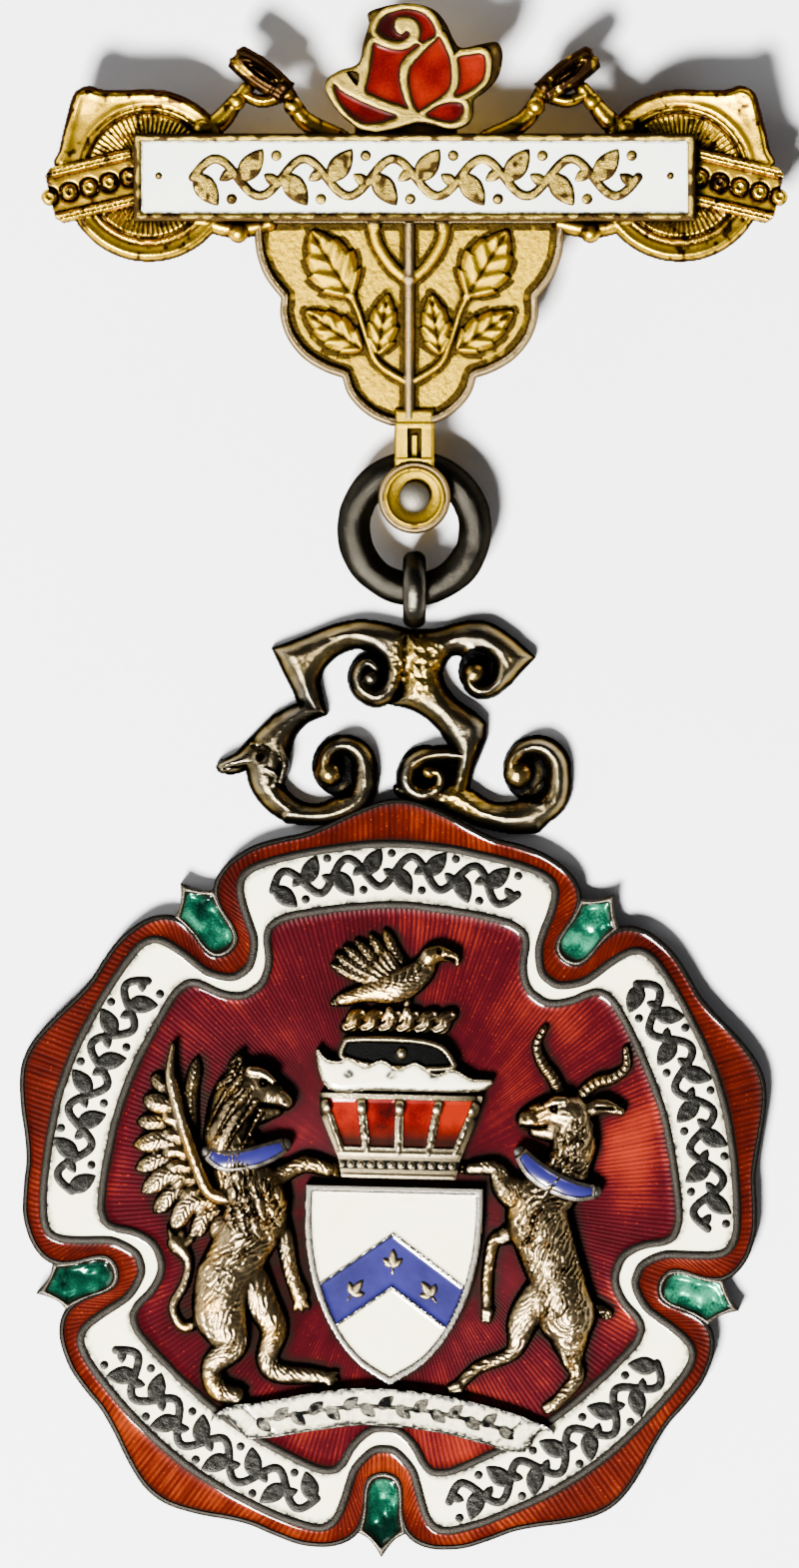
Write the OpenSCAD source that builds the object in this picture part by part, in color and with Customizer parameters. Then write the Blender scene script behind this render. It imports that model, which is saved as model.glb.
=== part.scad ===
// Enamelled dress jewel: a brooch with a name bar and a rose, and a rose pendant on a ring below it.
// It lies on its back. X runs across the jewel, Y up towards the brooch and Z out of its face.

/* [Pendant] */
// Radius from the pendant's centre to the crown of a petal
pendant_r = 18.77; // [16:0.01:21]
// Turn of the pendant on its ring, clockwise, in degrees
pendant_turn = 1.4; // [0:0.1:3]
// Thickness of the pendant's back plate
plate_t = 0.8; // [0.6:0.05:1.1]
// Depth of the enamel cells below the top of their metal walls
cell_depth = 0.55; // [0.4:0.05:0.9]
// Width of the wall round the outer red enamel
rim_w = 0.24; // [0.15:0.01:0.35]
// Width of the wall between the red and the white enamel
partition_w = 0.27; // [0.18:0.01:0.36]
// Width of the wall round the inner field
field_wall_w = 0.27; // [0.18:0.01:0.36]

/* [Enamel and fits] */
// How far the enamel lies below its metal walls
enamel_drop = 0.1; // [0.05:0.01:0.2]
// Gap left round each piece that is seated in another
gap = 0.03; // [0.02:0.005:0.05]
// Depth of the shallow enamel cells in the small pieces
small_cell = 0.3; // [0.2:0.02:0.4]

/* [Relief figures] */
// Height of the raised figures, as a multiple of their modelled roundness
relief_k = 0.85; // [0.6:0.05:1]
// Thickness of the shield, coronet, cap and scroll
charge_t = 0.75; // [0.6:0.05:1]
// Thickness of the animals' enamelled collars
collar_t = 0.5; // [0.3:0.05:0.7]

/* [Hanger] */
// Width of the scrolled hanger above the pendant
hanger_w = 16.8; // [15:0.1:18.5]
// Thickness of the scrolls
hanger_t = 1.75; // [1.4:0.05:2.1]
// Wire of the loop that hangs on the ring
loop_wire = 0.92; // [0.7:0.02:1.1]
// Sideways distance of the ring and brooch from the pendant's centre
axis_dx = 1.15; // [0:0.05:2]

/* [Suspension ring] */
// Radius of the ring to the middle of its wire
ring_r = 2.93; // [2.6:0.01:3.5]
// Thickness of the ring's wire
ring_wire = 1.66; // [1.3:0.01:1.9]
// Clearance between the ring and what holds it
ring_clear = 0.13; // [0.08:0.01:0.2]

/* [Brooch] */
// Width of the brooch over its beaded straps
brooch_w = 35.8; // [33:0.1:40]
// Thickness of the brooch's casting
frame_t = 0.8; // [0.6:0.05:1.1]
// Thickness of the strap behind the ring
strap_t = 0.55; // [0.4:0.05:0.6]
// Length of the neck between the plaque and the boss
neck_len = 3.44; // [3.3:0.01:4.4]
// Width of the neck
neck_w = 1.92; // [1.6:0.02:2.2]
// Radius of the round boss over the ring
boss_r = 1.62; // [1.4:0.02:1.9]
// Radius of the rivet through the boss
post_r = 0.5; // [0.4:0.02:0.6]
// Radius of the rivet's domed head
dome_r = 0.64; // [0.6:0.02:0.8]

/* [Name bar] */
// Length of the name bar
bar_w = 26.9; // [24:0.1:28]
// Height of the name bar
bar_h = 4.18; // [3.8:0.02:4.6]
// Thickness of the name bar
bar_t = 1.1; // [0.9:0.05:1.5]
// Width of the metal border round the bar's enamel
bar_rim = 0.38; // [0.25:0.01:0.5]

/* [Rose] */
// Width of the enamelled rose above the bar
rose_w = 8.54; // [7.6:0.02:9.4]
// Thickness of the rose
rose_t = 1.3; // [1:0.05:1.6]

/* [Brooch pin] */
// Length of the pin between its hinge and its catch
pin_len = 22; // [18:0.5:24]
// Thickness of the pin's wire
pin_wire = 0.8; // [0.6:0.05:1]

/* [Hidden] */
$fn = 48;

// Drawing units: hundredths of the named sizes that the tables follow
pu = pendant_r / 100;
hu = hanger_w / 100;
bu = brooch_w / 200;
ru = rose_w / 100;

PETALS = 5;
sector = 360 / PETALS;
spline_steps = 2;

// Heights above the surface that the jewel lies on
wall_z = plate_t + cell_depth;
enamel_z = wall_z - enamel_drop;
charge_z = enamel_z + gap;
banner_z = wall_z + gap;
hanger_top = 48.5 * hu;
loop_hole = ring_wire / 2 + ring_clear;
loop_out = loop_hole + loop_wire;
ring_z = loop_out + 0.05;
frame_z = ring_z + ring_wire / 2 + ring_clear;
frame_top = frame_z + frame_t;
strap_z = ring_z - ring_wire / 2 - ring_clear - strap_t;
bar_z = frame_top + gap;

// Places up the jewel's axis, from the pendant's centre
hanger_y = pendant_r;
loop_y = hanger_y + hanger_top + loop_out;
ring_y = loop_y + ring_r;
boss_y = ring_y + ring_r - ring_wire / 2 - ring_clear - post_r;
plaque_y = boss_y + neck_len;
plaque_drop = 66.3 * bu;
brooch_y = plaque_y + plaque_drop;
rose_y = bar_h / 2 + 2 * gap;

// Smooth curves and outlines
function pick(list, i) = list[(i + len(list)) % len(list)];
function held(list, i) = list[max(0, min(len(list) - 1, i))];
function curve_at(a, b, c, d, t) = 0.5 * (2 * b + (c - a) * t
    + (2 * a - 5 * b + 4 * c - d) * t * t + (3 * b - a - 3 * c + d) * t * t * t);
function closed_curve(p, n = spline_steps) = [
    for (i = [0 : len(p) - 1], k = [0 : n - 1])
        curve_at(pick(p, i - 1), p[i], pick(p, i + 1), pick(p, i + 2), k / n)];
function open_curve(p, n = spline_steps) = concat([
    for (i = [0 : len(p) - 2], k = [0 : n - 1])
        curve_at(held(p, i - 1), p[i], p[i + 1], held(p, i + 2), k / n)], [p[len(p) - 1]]);
// An outline of smooth runs, each of which starts where the last one ended
function outline(runs) = [for (run = runs) let (c = open_curve(run)) for (i = [0 : len(c) - 2]) c[i]];
function reversed(p) = [for (i = [len(p) - 1 : -1 : 0]) p[i]];
function scaled(p, k) = [for (q = p) q * k];
function turned(q, a) = [q.x * cos(a) - q.y * sin(a), q.x * sin(a) + q.y * cos(a)];
function unit(v) = v / norm(v);

// A half outline and its mirror image, joined clockwise into one loop
function both_sides(p) = concat(p, [for (i = [len(p) - 2 : -1 : 1]) [-p[i].x, p[i].y]]);

// A clockwise loop moved outwards by d, with mitred corners
function miter(a, b, c) = let (u = unit(b - a), t = unit(u + unit(c - b))) [-t.y, t.x] / max(0.5, t * u);
function shifted(p, d) = [for (i = [0 : len(p) - 1])
    p[i] + d * miter(pick(p, i - 1), p[i], pick(p, i + 1))];

// A band along a row of points, whose third column is the width
function band(rows, grow = 0, n = spline_steps) =
    let (p = open_curve(rows, n))
    let (t = [for (i = [0 : len(p) - 1])
        let (v = [held(p, i + 1).x - held(p, i - 1).x, held(p, i + 1).y - held(p, i - 1).y]) unit(v)])
    let (half = [for (q = p) max(q[2] / 2 + grow, 0.1)])
    concat([for (i = [0 : len(p) - 1]) [p[i].x - t[i].y * half[i], p[i].y + t[i].x * half[i]]],
        [for (i = [len(p) - 1 : -1 : 0]) [p[i].x + t[i].y * half[i], p[i].y - t[i].x * half[i]]]);

// Pendant outlines in hundredths of pendant_r.
// Columns: angle from a sepal's axis, radius. The last row is the middle of a petal.
red_edge = [[0, 73], [1.9, 73.6], [3.2, 75.1], [3.7, 78.2], [3.6, 83.2], [4, 86.7], [4.8, 88.9],
    [6, 90.6], [7.8, 92], [9.9, 92.8], [13, 93.3], [17, 92.9], [21, 92.5], [25, 93.7],
    [29, 95.9], [33, 98], [36, 98.7]];
partition_line = [[0, 67], [2.1, 67.4], [4.1, 69.5], [5.8, 72.7], [6.5, 76.5], [7, 80.6],
    [7.7, 84.8], [8.7, 87.6], [10.3, 89], [13, 89.3], [18, 88.8], [24, 88.3], [30, 88.2], [36, 88.2]];
field_line = [[0, 61.8], [2.8, 62.3], [5.3, 64.5], [7, 67.5], [8.1, 71], [9.4, 73.4],
    [11.2, 74.3], [14, 74.4], [20, 73.4], [28, 72.7], [36, 72.6]];

// Half outlines of a sepal and its cell. Columns: distance from the axis, radius.
sepal_half = [[0, 95], [1.6, 92.4], [3.6, 90.1], [6.4, 88.6], [5.6, 86], [5, 82], [4.9, 78],
    [4, 75], [2, 73.4], [0, 73]];
sepal_tip = open_curve([for (i = [0 : 3]) sepal_half[i]]);
sepal_body = open_curve([for (i = [3 : 9]) sepal_half[i]]);
sepal_cell = [[0, 92], [2.3, 89.8], [4.7, 87.6], [4.1, 84.5], [3.9, 80], [3.5, 77], [2.2, 75], [0, 74.4]];

function ring_point(a, r) = r * [sin(a), cos(a)];
function one_sepal_side(table) = concat(
    [for (k = [len(table) - 1 : -1 : 1]) [-table[k][0], table[k][1]]],
    [for (k = [0 : len(table) - 2]) table[k]]);
function fivefold(table) = closed_curve([for (i = [0 : PETALS - 1])
    for (row = one_sepal_side(table)) ring_point(sector * (i + 0.5) + row[0], row[1] * pu)]);

red_loop = fivefold(red_edge);
partition_loop = fivefold(partition_line);
field_loop = fivefold(field_line);
rim_loop = shifted(red_loop, rim_w);
sepal_side = concat(sepal_tip, [for (i = [1 : len(sepal_body) - 1]) sepal_body[i]]);
sepal_loop = scaled(both_sides(sepal_side), pu);
sepal_cell_loop = scaled(both_sides(sepal_cell), pu);

// Overall box of the jewel, which puts the origin under its middle
pendant_points = [for (q = concat(rim_loop,
    [for (i = [0 : PETALS - 1]) ring_point(sector * (i + 0.5), 95 * pu)])) turned(q, -pendant_turn)];
x_low = min(min([for (q = pendant_points) q.x]), axis_dx - 100 * bu);
x_high = max(max([for (q = pendant_points) q.x]), axis_dx + 100 * bu);
y_low = min([for (q = pendant_points) q.y]);
y_high = brooch_y + rose_y + 72.3 * ru;
shift = [-(x_low + x_high) / 2, -(y_low + y_high) / 2, 0];

module on_axis(y) {
    translate(shift + [axis_dx, y, 0]) children();
}
module on_pendant() {
    translate(shift) rotate([0, 0, -pendant_turn]) children();
}
module slab(points, z, h) {
    translate([0, 0, z]) linear_extrude(h) polygon(points);
}
module at_sepal(i) {
    rotate([0, 0, -sector * (i + 0.5)]) children();
}

// Scroll hanger in hundredths of hanger_w, from the crown of the top petal.
// Each outline is a row of smooth runs that meet in corners. Columns: across, up.
scroll_outlines = [
    [[[-1, 48.4], [-6, 49.8], [-12, 51], [-17, 51.2], [-24, 49.6], [-32, 46.4], [-41, 43]],
        [[-41, 43], [-38.2, 37], [-35, 30.6], [-33.6, 27.4], [-30, 24.2], [-25, 23.8]],
        [[-25, 23.8], [-26.2, 29], [-26.8, 34], [-25, 38], [-21, 41.2], [-16, 42.6], [-10, 40.6],
            [-5, 35]],
        [[-5, 35], [-4.6, 31], [-1, 31]]],
    [[[-33.6, 27.4], [-38.4, 25], [-43, 21.6], [-46.4, 18], [-47.6, 14.8], [-50.4, 12.6], [-55.6, 11]],
        [[-55.6, 11], [-56.2, 8.8], [-54.4, 6.9], [-51.4, 6.8], [-48.4, 7.8]],
        [[-48.4, 7.8], [-47.4, 3.6], [-45, -0.6], [-41, -4.6], [-36, -7.2], [-30, -7.2], [-24, -5.6],
            [-18, -3.6], [-13.6, 0.4], [-11.8, 5]],
        [[-11.8, 5], [-17, 4], [-22, 1], [-27, -1.4], [-32, -1], [-36, 1.8], [-37.4, 5.4], [-36, 9.2],
            [-35.4, 13.4], [-34, 17.6], [-30.6, 21.4], [-25, 23.8]],
        [[-25, 23.8], [-26, 26.6], [-30, 28.4]]],
    [[[1, 48.4], [7, 48.8], [12, 50.2], [17, 51], [22, 50.2], [28, 46.4], [34.8, 40.4]],
        [[34.8, 40.4], [31, 36.4], [27.6, 32.4], [24, 30], [20.4, 29.6], [18, 34]],
        [[18, 34], [14, 40], [11, 40.6], [8.6, 37.4], [7.4, 33]],
        [[7.4, 33], [4, 33], [1, 36]]],
    [[[-3.6, 48.4], [-4.8, 40], [-4.6, 33.6], [-5, 29.6], [-7.4, 26.8]],
        [[-7.4, 26.8], [-1, 25.2], [4, 22.2], [8, 17.8], [10.6, 13], [10.8, 8], [8, -2]],
        [[8, -2], [12, -4], [16, -3]],
        [[16, -3], [15.8, 2], [16.8, 7], [19, 12.6], [20.6, 17], [20.8, 21.4]],
        [[20.8, 21.4], [17.6, 24.6], [13, 27.8], [9.4, 32], [7.8, 37], [7.6, 43], [6, 48.4]]],
    [[[-6.2, 3.6], [-5, 0.6], [0, -1.4], [6, -2.4], [12, -5.2], [17, -7.6], [24, -9.6], [30, -10.4],
        [35.8, -10]],
        [[35.8, -10], [40, -5.6], [43.6, 0.6], [44.8, 6]],
        [[44.8, 6], [38, 6], [33, 1.4], [27.6, -1], [22, -0.8], [17, 2.2], [12, 4.8], [4, 4],
            [-6.2, 3.6]]]];
// Columns: across, up, radius, turn of the curl in degrees, 1 or -1 for its hand
volutes = [[-11.8, 34.6, 7.4, 90, 1], [-20.4, 9.2, 9, 0, -1], [19.6, 36.4, 7, 90, 1],
    [3.2, 7.6, 7.6, 0, 1], [35.2, 8.2, 9.8, 0, -1]];
// Groove that curls round a volute, in shares of its radius
curl_steps = 16;
curl_out = 0.8;
curl_in = 0.34;
curl_w = 0.16;
groove_z = 0.55 * hanger_t;
function curl(hand) = [for (i = [0 : curl_steps])
    let (a = 24 * i, r = curl_out + (curl_in - curl_out) * i / curl_steps)
    [r * cos(a), hand * r * sin(a), curl_w]];

module volute(v) {
    size = v[2] * hu;
    translate([v[0] * hu, v[1] * hu, 0]) rotate([0, 0, v[3]]) difference() {
        union() {
            cylinder(h = 0.85 * hanger_t, r = size);
            translate([0, 0, groove_z]) sphere(r = 0.42 * size);
        }
        slab(scaled(band(curl(v[4]), 0.02, 1), size), groove_z, hanger_t);
    }
}
module scroll_hanger() {
    for (runs = scroll_outlines) slab(scaled(outline(runs), hu), 0, 0.8 * hanger_t);
    for (v = volutes) volute(v);
    solder_w = 1.6 * loop_wire;
    solder_z = 0.2;
    translate([-solder_w / 2, 40 * hu, solder_z])
        cube([solder_w, 8.5 * hu + loop_wire * 0.7, ring_z + loop_wire / 2 - solder_z]);
}
module pendant_loop() {
    translate([0, 0, ring_z]) rotate([0, 90, 0]) rotate_extrude()
        translate([loop_hole + loop_wire / 2, 0]) circle(d = loop_wire);
}
module cells() {
    over = 2 * hanger_t;
    difference() {
        slab(red_loop, plate_t, over);
        slab(shifted(partition_loop, partition_w / 2), 0, 2 * over);
    }
    difference() {
        slab(shifted(partition_loop, -partition_w / 2), plate_t, over);
        slab(shifted(field_loop, field_wall_w / 2), 0, 2 * over);
    }
    slab(shifted(field_loop, -field_wall_w / 2), plate_t, over);
    for (i = [0 : PETALS - 1]) at_sepal(i) slab(sepal_cell_loop, plate_t, over);
}
module pendant_frame() {
    color("dimgray") difference() {
        union() {
            on_pendant() {
                slab(rim_loop, 0, wall_z);
                for (i = [0 : PETALS - 1]) at_sepal(i) slab(sepal_loop, 0, wall_z);
            }
            on_axis(hanger_y) scroll_hanger();
            on_axis(loop_y) pendant_loop();
        }
        on_pendant() cells();
    }
}

// Enamel of the pendant, each piece inset by the gap
module fill(points, z = plate_t + gap, top = enamel_z) {
    slab(shifted(points, -gap), z, top - z);
}
module petal_enamel() {
    color("firebrick") on_pendant() difference() {
        fill(red_loop);
        slab(shifted(partition_loop, partition_w / 2 + gap), 0, 2 * wall_z);
    }
}
module white_enamel() {
    color("ivory") on_pendant() difference() {
        fill(shifted(partition_loop, -partition_w / 2));
        slab(shifted(field_loop, field_wall_w / 2 + gap), 0, 2 * wall_z);
    }
}
module field_enamel() {
    color("darkred") on_pendant() fill(shifted(field_loop, -field_wall_w / 2));
}
module sepal_enamel(i) {
    color("seagreen") on_pendant() at_sepal(i) fill(sepal_cell_loop);
}

// Raised figures, in hundredths of pendant_r. Columns: across, up, radius of the rounded form.
lion_parts = [
    [[-42, 12, 6.5], [-40, 21, 7], [-36.5, 25.5, 6]],
    [[-36, 25, 5.4], [-30.5, 23, 3.8], [-27.6, 21.6, 2.6]],
    [[-35, 19, 4], [-30, 19.6, 2.2]],
    [[-40.6, 30, 2], [-39.6, 32.6, 1]],
    [[-42, 12, 6.5], [-38, 3, 8], [-34, -5, 8.5], [-37, -14, 8], [-42, -24, 7.5]],
    [[-42, -24, 7.5], [-43, -33, 7], [-40, -41, 4.6], [-44.6, -47, 3], [-43, -52.6, 3], [-38.6, -54, 2.6]],
    [[-37, -22, 6], [-32.6, -30, 4.8], [-29, -37, 3.8], [-30.6, -44.5, 3], [-28, -48, 2.8],
        [-20, -48.6, 2.4], [-15.6, -49, 2]],
    [[-33, 0, 5], [-27, 3.4, 2.6], [-22, 5.6, 2.4], [-16.4, 4.4, 2]],
    [[-32, -6, 5.5], [-27, -14, 2.8], [-25, -22, 2.2], [-22.6, -28, 2.4]],
    [[-44, -32, 2], [-51.6, -37, 1.4], [-55, -32, 1.3], [-52, -25.6, 1.3], [-51.4, -20, 1.4],
        [-54.6, -15.6, 2.4]],
    [[-38, -4, 4], [-46, -2.4, 3], [-50, 5, 3], [-54, 16, 2.8], [-57, 27, 2.4], [-56.6, 35, 1.2]]];
// Columns: across and up at the root, across and up at the tip, radius
feathers = [[-51, 13, -50.4, 32, 1.8], [-55, 16, -61.6, 27, 1.9], [-52.6, 11, -64.6, 18, 2],
    [-51, 6, -65.6, 9, 2], [-49.6, 2, -64.6, 0.6, 2], [-47.6, -1, -61.6, -6, 1.9],
    [-45, -3.6, -56.6, -10.6, 1.9], [-42, -6, -50.4, -13, 1.8], [-39, -8, -44, -15, 1.7]];
antelope_parts = [
    [[47, 12, 6], [45.6, 19, 5.4], [40, 20, 4.2], [34.4, 18.6, 2.7]],
    [[42, 15.6, 3.4], [37, 16, 2.3]],
    [[50, 21, 2], [54, 22.4, 2], [58.6, 21, 1]],
    [[43.4, 24, 1.9], [41, 29, 1.7], [38, 33, 1.5], [36.6, 37.6, 1.2], [38.6, 42, 0.8]],
    [[47.6, 24, 1.9], [51.6, 28, 1.7], [56.4, 29.6, 1.5], [59.6, 32.6, 1.2], [59.4, 37, 0.8]],
    [[47, 12, 6], [44, 4, 6.6], [38, -4, 8.4], [40, -13, 8], [43.6, -23, 7.4], [46, -32, 7.6]],
    [[33, -1, 5], [29.4, 1, 3.6], [26.6, 5.6, 2.2], [20.4, 5.4, 1.7]],
    [[36, -8, 5], [29.6, -11.6, 2.4], [26.6, -13.6, 1.9], [25.4, -22, 1.6], [25.6, -31, 1.5]],
    [[40, -26, 5.6], [35, -33, 4.4], [32.4, -41.4, 2.1], [23.6, -45.6, 1.7], [18.6, -50.4, 1.6]],
    [[46.6, -36, 5.6], [47.6, -43, 2.8], [49, -47.4, 2], [45.6, -52, 1.7], [43.4, -54.6, 1.5]],
    [[52, -29, 2], [56.4, -31, 1.4]]];
bird_parts = [
    [[8.6, 59.6, 2.6], [11.4, 60.4, 2.2], [15, 59, 0.9]],
    [[8.6, 59.6, 2.6], [6, 55, 3.6], [0, 51.6, 4.4], [-7, 50, 2.6], [-13.6, 48, 1.6]],
    [[3, 50, 1.8], [3, 45.6, 1]],
    [[-1.4, 50, 1.8], [-1.4, 45.6, 1]],
    [[2, 53.6, 3], [-3, 59.6, 2.6], [-9, 65, 1.4]],
    [[0.4, 52, 3], [-6.6, 57.4, 2.6], [-14, 62.4, 1.4]],
    [[-1, 51, 3], [-9.4, 54.4, 2.4], [-17, 58, 1.4]]];
// Strands of the twisted wreath below the bird
wreath_turns = 6;
wreath_x = -10.4;
wreath_pitch = 4.6;

module sculpted() {
    scale([pu, pu, pu * relief_k]) difference() {
        children();
        translate([-100, -100, -100]) cube([200, 200, 100]);
    }
}
module knob(q) {
    translate([q[0], q[1], 0]) sphere(r = q[2], $fn = 10);
}
module limbs(parts) {
    for (rows = parts) for (i = [0 : len(rows) - 2]) hull() {
        knob(rows[i]);
        knob(rows[i + 1]);
    }
}
module on_field() {
    on_pendant() translate([0, 0, charge_z]) children();
}
lion_collar_rows = [[-47, 8, 3.6], [-42.6, 6, 5.4], [-37, 6.6, 5.6], [-31.6, 8.4, 5.2], [-27.4, 10.4, 3.6]];
antelope_collar_rows = [[52.4, 0.4, 3.4], [47.6, 0.4, 5], [42, 2.4, 5.6], [36.8, 5.6, 5.4], [33, 9.8, 3.6]];
collar_seat = 3 * relief_k * pu;
collar_h = 3.6 * relief_k * pu + collar_t;
module collar_slot(rows) {
    slab(scaled(band(rows, gap / pu), pu), collar_seat, 2 * collar_h);
}
module lion() {
    color("goldenrod") on_field() difference() {
        sculpted() {
            limbs(lion_parts);
            limbs([for (f = feathers) [[f[0], f[1], f[4]], [f[2], f[3], 0.5 * f[4]]]]);
        }
        collar_slot(lion_collar_rows);
    }
}
module antelope() {
    color("goldenrod") on_field() difference() {
        sculpted() limbs(antelope_parts);
        collar_slot(antelope_collar_rows);
    }
}
module collar(rows) {
    color("royalblue") on_field() slab(scaled(band(rows), pu), collar_seat + gap, collar_h);
}
module crest_bird() {
    color("goldenrod") on_field() sculpted() {
        limbs(bird_parts);
        for (i = [0 : wreath_turns - 1]) let (x = wreath_x + wreath_pitch * i)
            limbs([[[x - 1.6, 41.4, 2.2], [x + 1.6, 44.2, 2.2]]]);
    }
}

// Shield, its charges and the coronet, in hundredths of pendant_r
shield_x = 1;
shield_half = [[0, 0.6], [22.8, 0.6], [22.8, -8], [22, -17], [19.6, -27], [15, -37], [8.6, -45],
    [0, -50.6]];
shield_loop = scaled([for (q = both_sides(shield_half)) q + [shield_x, 0]], pu);
shield_cell_half = [[0, -1.2], [21, -1.2], [21, -8], [20.2, -17], [17.9, -26.4], [13.6, -36], [7.6, -43.4],
    [0, -48.2]];
shield_cell = scaled([for (q = both_sides(shield_cell_half)) q + [shield_x, 0]], pu);
// Chevron: rise of its arms, height of its peak, width of an arm and of the metal along it
chevron_slope = 0.72;
chevron_peak = -12;
chevron_w = 13;
chevron_edge = 0.8;
charge_top = charge_z + charge_t;
small_fill = small_cell - gap - 0.4 * enamel_drop;

function chevron(top, bottom) = scaled([[shield_x, top], [shield_x + 30, top - 30 * chevron_slope],
    [shield_x + 30, bottom - 30 * chevron_slope], [shield_x, bottom],
    [shield_x - 30, bottom - 30 * chevron_slope], [shield_x - 30, top - 30 * chevron_slope]], pu);
chevron_border = chevron(chevron_peak + chevron_edge, chevron_peak - chevron_w - chevron_edge);
module shield() {
    color("silver") on_pendant() difference() {
        slab(shield_loop, charge_z, charge_t);
        difference() {
            slab(shield_cell, charge_top - small_cell, 1);
            slab(chevron_border, 0, 9);
        }
        intersection() {
            slab(shield_cell, charge_top - small_cell, 1);
            slab(chevron(chevron_peak, chevron_peak - chevron_w), 0, 9);
        }
    }
}
module shield_fill() {
    slab(shifted(shield_cell, -gap), charge_top - small_cell + gap, small_fill);
}
module shield_white() {
    color("ivory") on_pendant() difference() {
        shield_fill();
        slab(shifted(chevron_border, gap), 0, 9);
    }
}
module shield_blue() {
    color("royalblue") on_pendant() intersection() {
        shield_fill();
        slab(shifted(chevron(chevron_peak, chevron_peak - chevron_w), -gap), 0, 9);
    }
}

// Columns: foot and head of each coronet post, across
coronet_posts = [[-12.4, -17.4], [-6.2, -8], [1.8, 1.8], [9.4, 11.6], [16, 21]];
post_foot = 8.4;
post_head = 21.2;
coronet_loop = scaled([[-18.8, 24], [23, 24], [22, 19], [17.6, 7.6], [16.6, 2.6], [-12.6, 2.6],
    [-13.6, 7.6], [-18.6, 19]], pu);
function post_at(i, y) = coronet_posts[i][0]
    + (coronet_posts[i][1] - coronet_posts[i][0]) * (y - post_foot) / (post_head - post_foot);
function coronet_cell(i) = scaled([[post_at(i, 22.6) + 1.5, 22.6], [post_at(i + 1, 22.6) - 1.5, 22.6],
    [post_at(i + 1, 10.4) - 1.4, 10.4], [post_at(i, 10.4) + 1.4, 10.4]], pu);
module coronet() {
    color("darkkhaki") on_pendant() difference() {
        union() {
            slab(coronet_loop, charge_z, charge_t);
            for (i = [0 : len(coronet_posts) - 1])
                translate([coronet_posts[i][1] * pu, post_head * pu, charge_top]) sphere(r = 1.7 * pu);
        }
        for (i = [0 : len(coronet_posts) - 2]) slab(coronet_cell(i), charge_top - small_cell, 1);
    }
}
module coronet_enamel(i) {
    color("red") on_pendant()
        slab(shifted(coronet_cell(i), -gap), charge_top - small_cell + gap, small_fill);
}
brim_loop = scaled([[-20, 35], [-17, 32.6], [-13.6, 32.4], [-11.6, 33.4], [-7.4, 31.2], [-3, 32.8],
    [1.2, 30.6], [5.6, 32.4], [10.6, 29.6], [15.4, 30.8], [20, 28.6], [25.6, 28.2], [22.6, 25.4],
    [10, 24.8], [-4, 25], [-16.6, 25]], pu);
cap_loop = scaled([[-14, 33], [-13.4, 37], [-11, 38.6], [4, 38.8], [12, 37.2], [15.4, 33.6], [16, 31],
    [10.6, 30], [0, 30], [-8, 31]], pu);
brim_edge = 0.6 * pu;
brim_rise = 0.1;
brim_cell_z = charge_top + brim_rise - small_cell;
module cap() {
    color("dimgray") on_pendant() difference() {
        union() {
            slab(cap_loop, charge_z, charge_t);
            slab(brim_loop, charge_z, charge_t + brim_rise);
        }
        slab(shifted(brim_loop, -brim_edge), brim_cell_z, 1);
    }
}
module brim_enamel() {
    color("ivory") on_pendant()
        slab(shifted(brim_loop, -brim_edge - gap), brim_cell_z + gap, small_cell - gap);
}

// Curved scroll below the shield. Columns: across, up, width.
banner_rows = [[-43.6, -61, 1], [-38, -60.8, 8.6], [-32, -60.4, 9.4], [-20, -58, 9.8], [-8, -56.2, 9.8],
    [2, -56.2, 9.8], [14, -57.4, 9.8], [26, -60, 9.8], [35, -62.4, 9.4], [42, -62, 5]];
banner_edge = 0.9;
banner_cell = [for (i = [1 : len(banner_rows) - 2]) banner_rows[i]];
banner_cell_z = banner_z + charge_t - small_cell;
module banner() {
    color("silver") on_pendant() difference() {
        slab(scaled(band(banner_rows), pu), banner_z, charge_t);
        slab(scaled(band(banner_cell, -banner_edge), pu), banner_cell_z, 1);
    }
}
module banner_enamel() {
    end_gap = 4 * gap;
    color("ivory") on_pendant() intersection() {
        slab(scaled(band(banner_cell, -banner_edge - gap / pu), pu), banner_cell_z + gap, small_fill);
        translate([banner_cell[0].x * pu + end_gap, -100 * pu, 0])
            cube([(banner_cell[len(banner_cell) - 1].x - banner_cell[0].x) * pu - 2 * end_gap, 100 * pu, 9]);
    }
}

// Brooch, in hundredths of half brooch_w from the bar's centre
hoop_x = 71.2;
hoop_y = 0.8;
hoop_r = 23.1;
hoop_rib_r = 17.2;
hoop_hole_r = 9;
rib_count = 44;
horn = [[-58, 18.6], [-66, 23.4], [-79, 23.8], [-84, 23.9], [-87, 24.9], [-89.6, 24.2], [-91.6, 22.2],
    [-93.4, 16], [-95.2, 8], [-96, 3], [-84, -2], [-80, 12], [-70, 18]];
strap_tilt = 13.5;
strap_len = 22;
strap_half = 7.6;
bead_count = 4;
bead_pitch = 5.5;
bead_r = 2.15;
rail_w = 3;
rail_len = 21;
plaque_x = -1.4;
plaque_lobes = [[[41.5, -10], [41.5, -16], [40.6, -21.6], [38.3, -27], [34.4, -32]],
    [[34.4, -32], [34.6, -37], [32.6, -43], [28.4, -48.2], [23, -51.6], [18, -53.4]],
    [[18, -53.4], [16.6, -57.6], [13.6, -61.4], [9.6, -64.4], [5, -66.3]]];
plaque_rim = 2.1;
plaque_sink = 0.3;
stem_w = 2.6;
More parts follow.
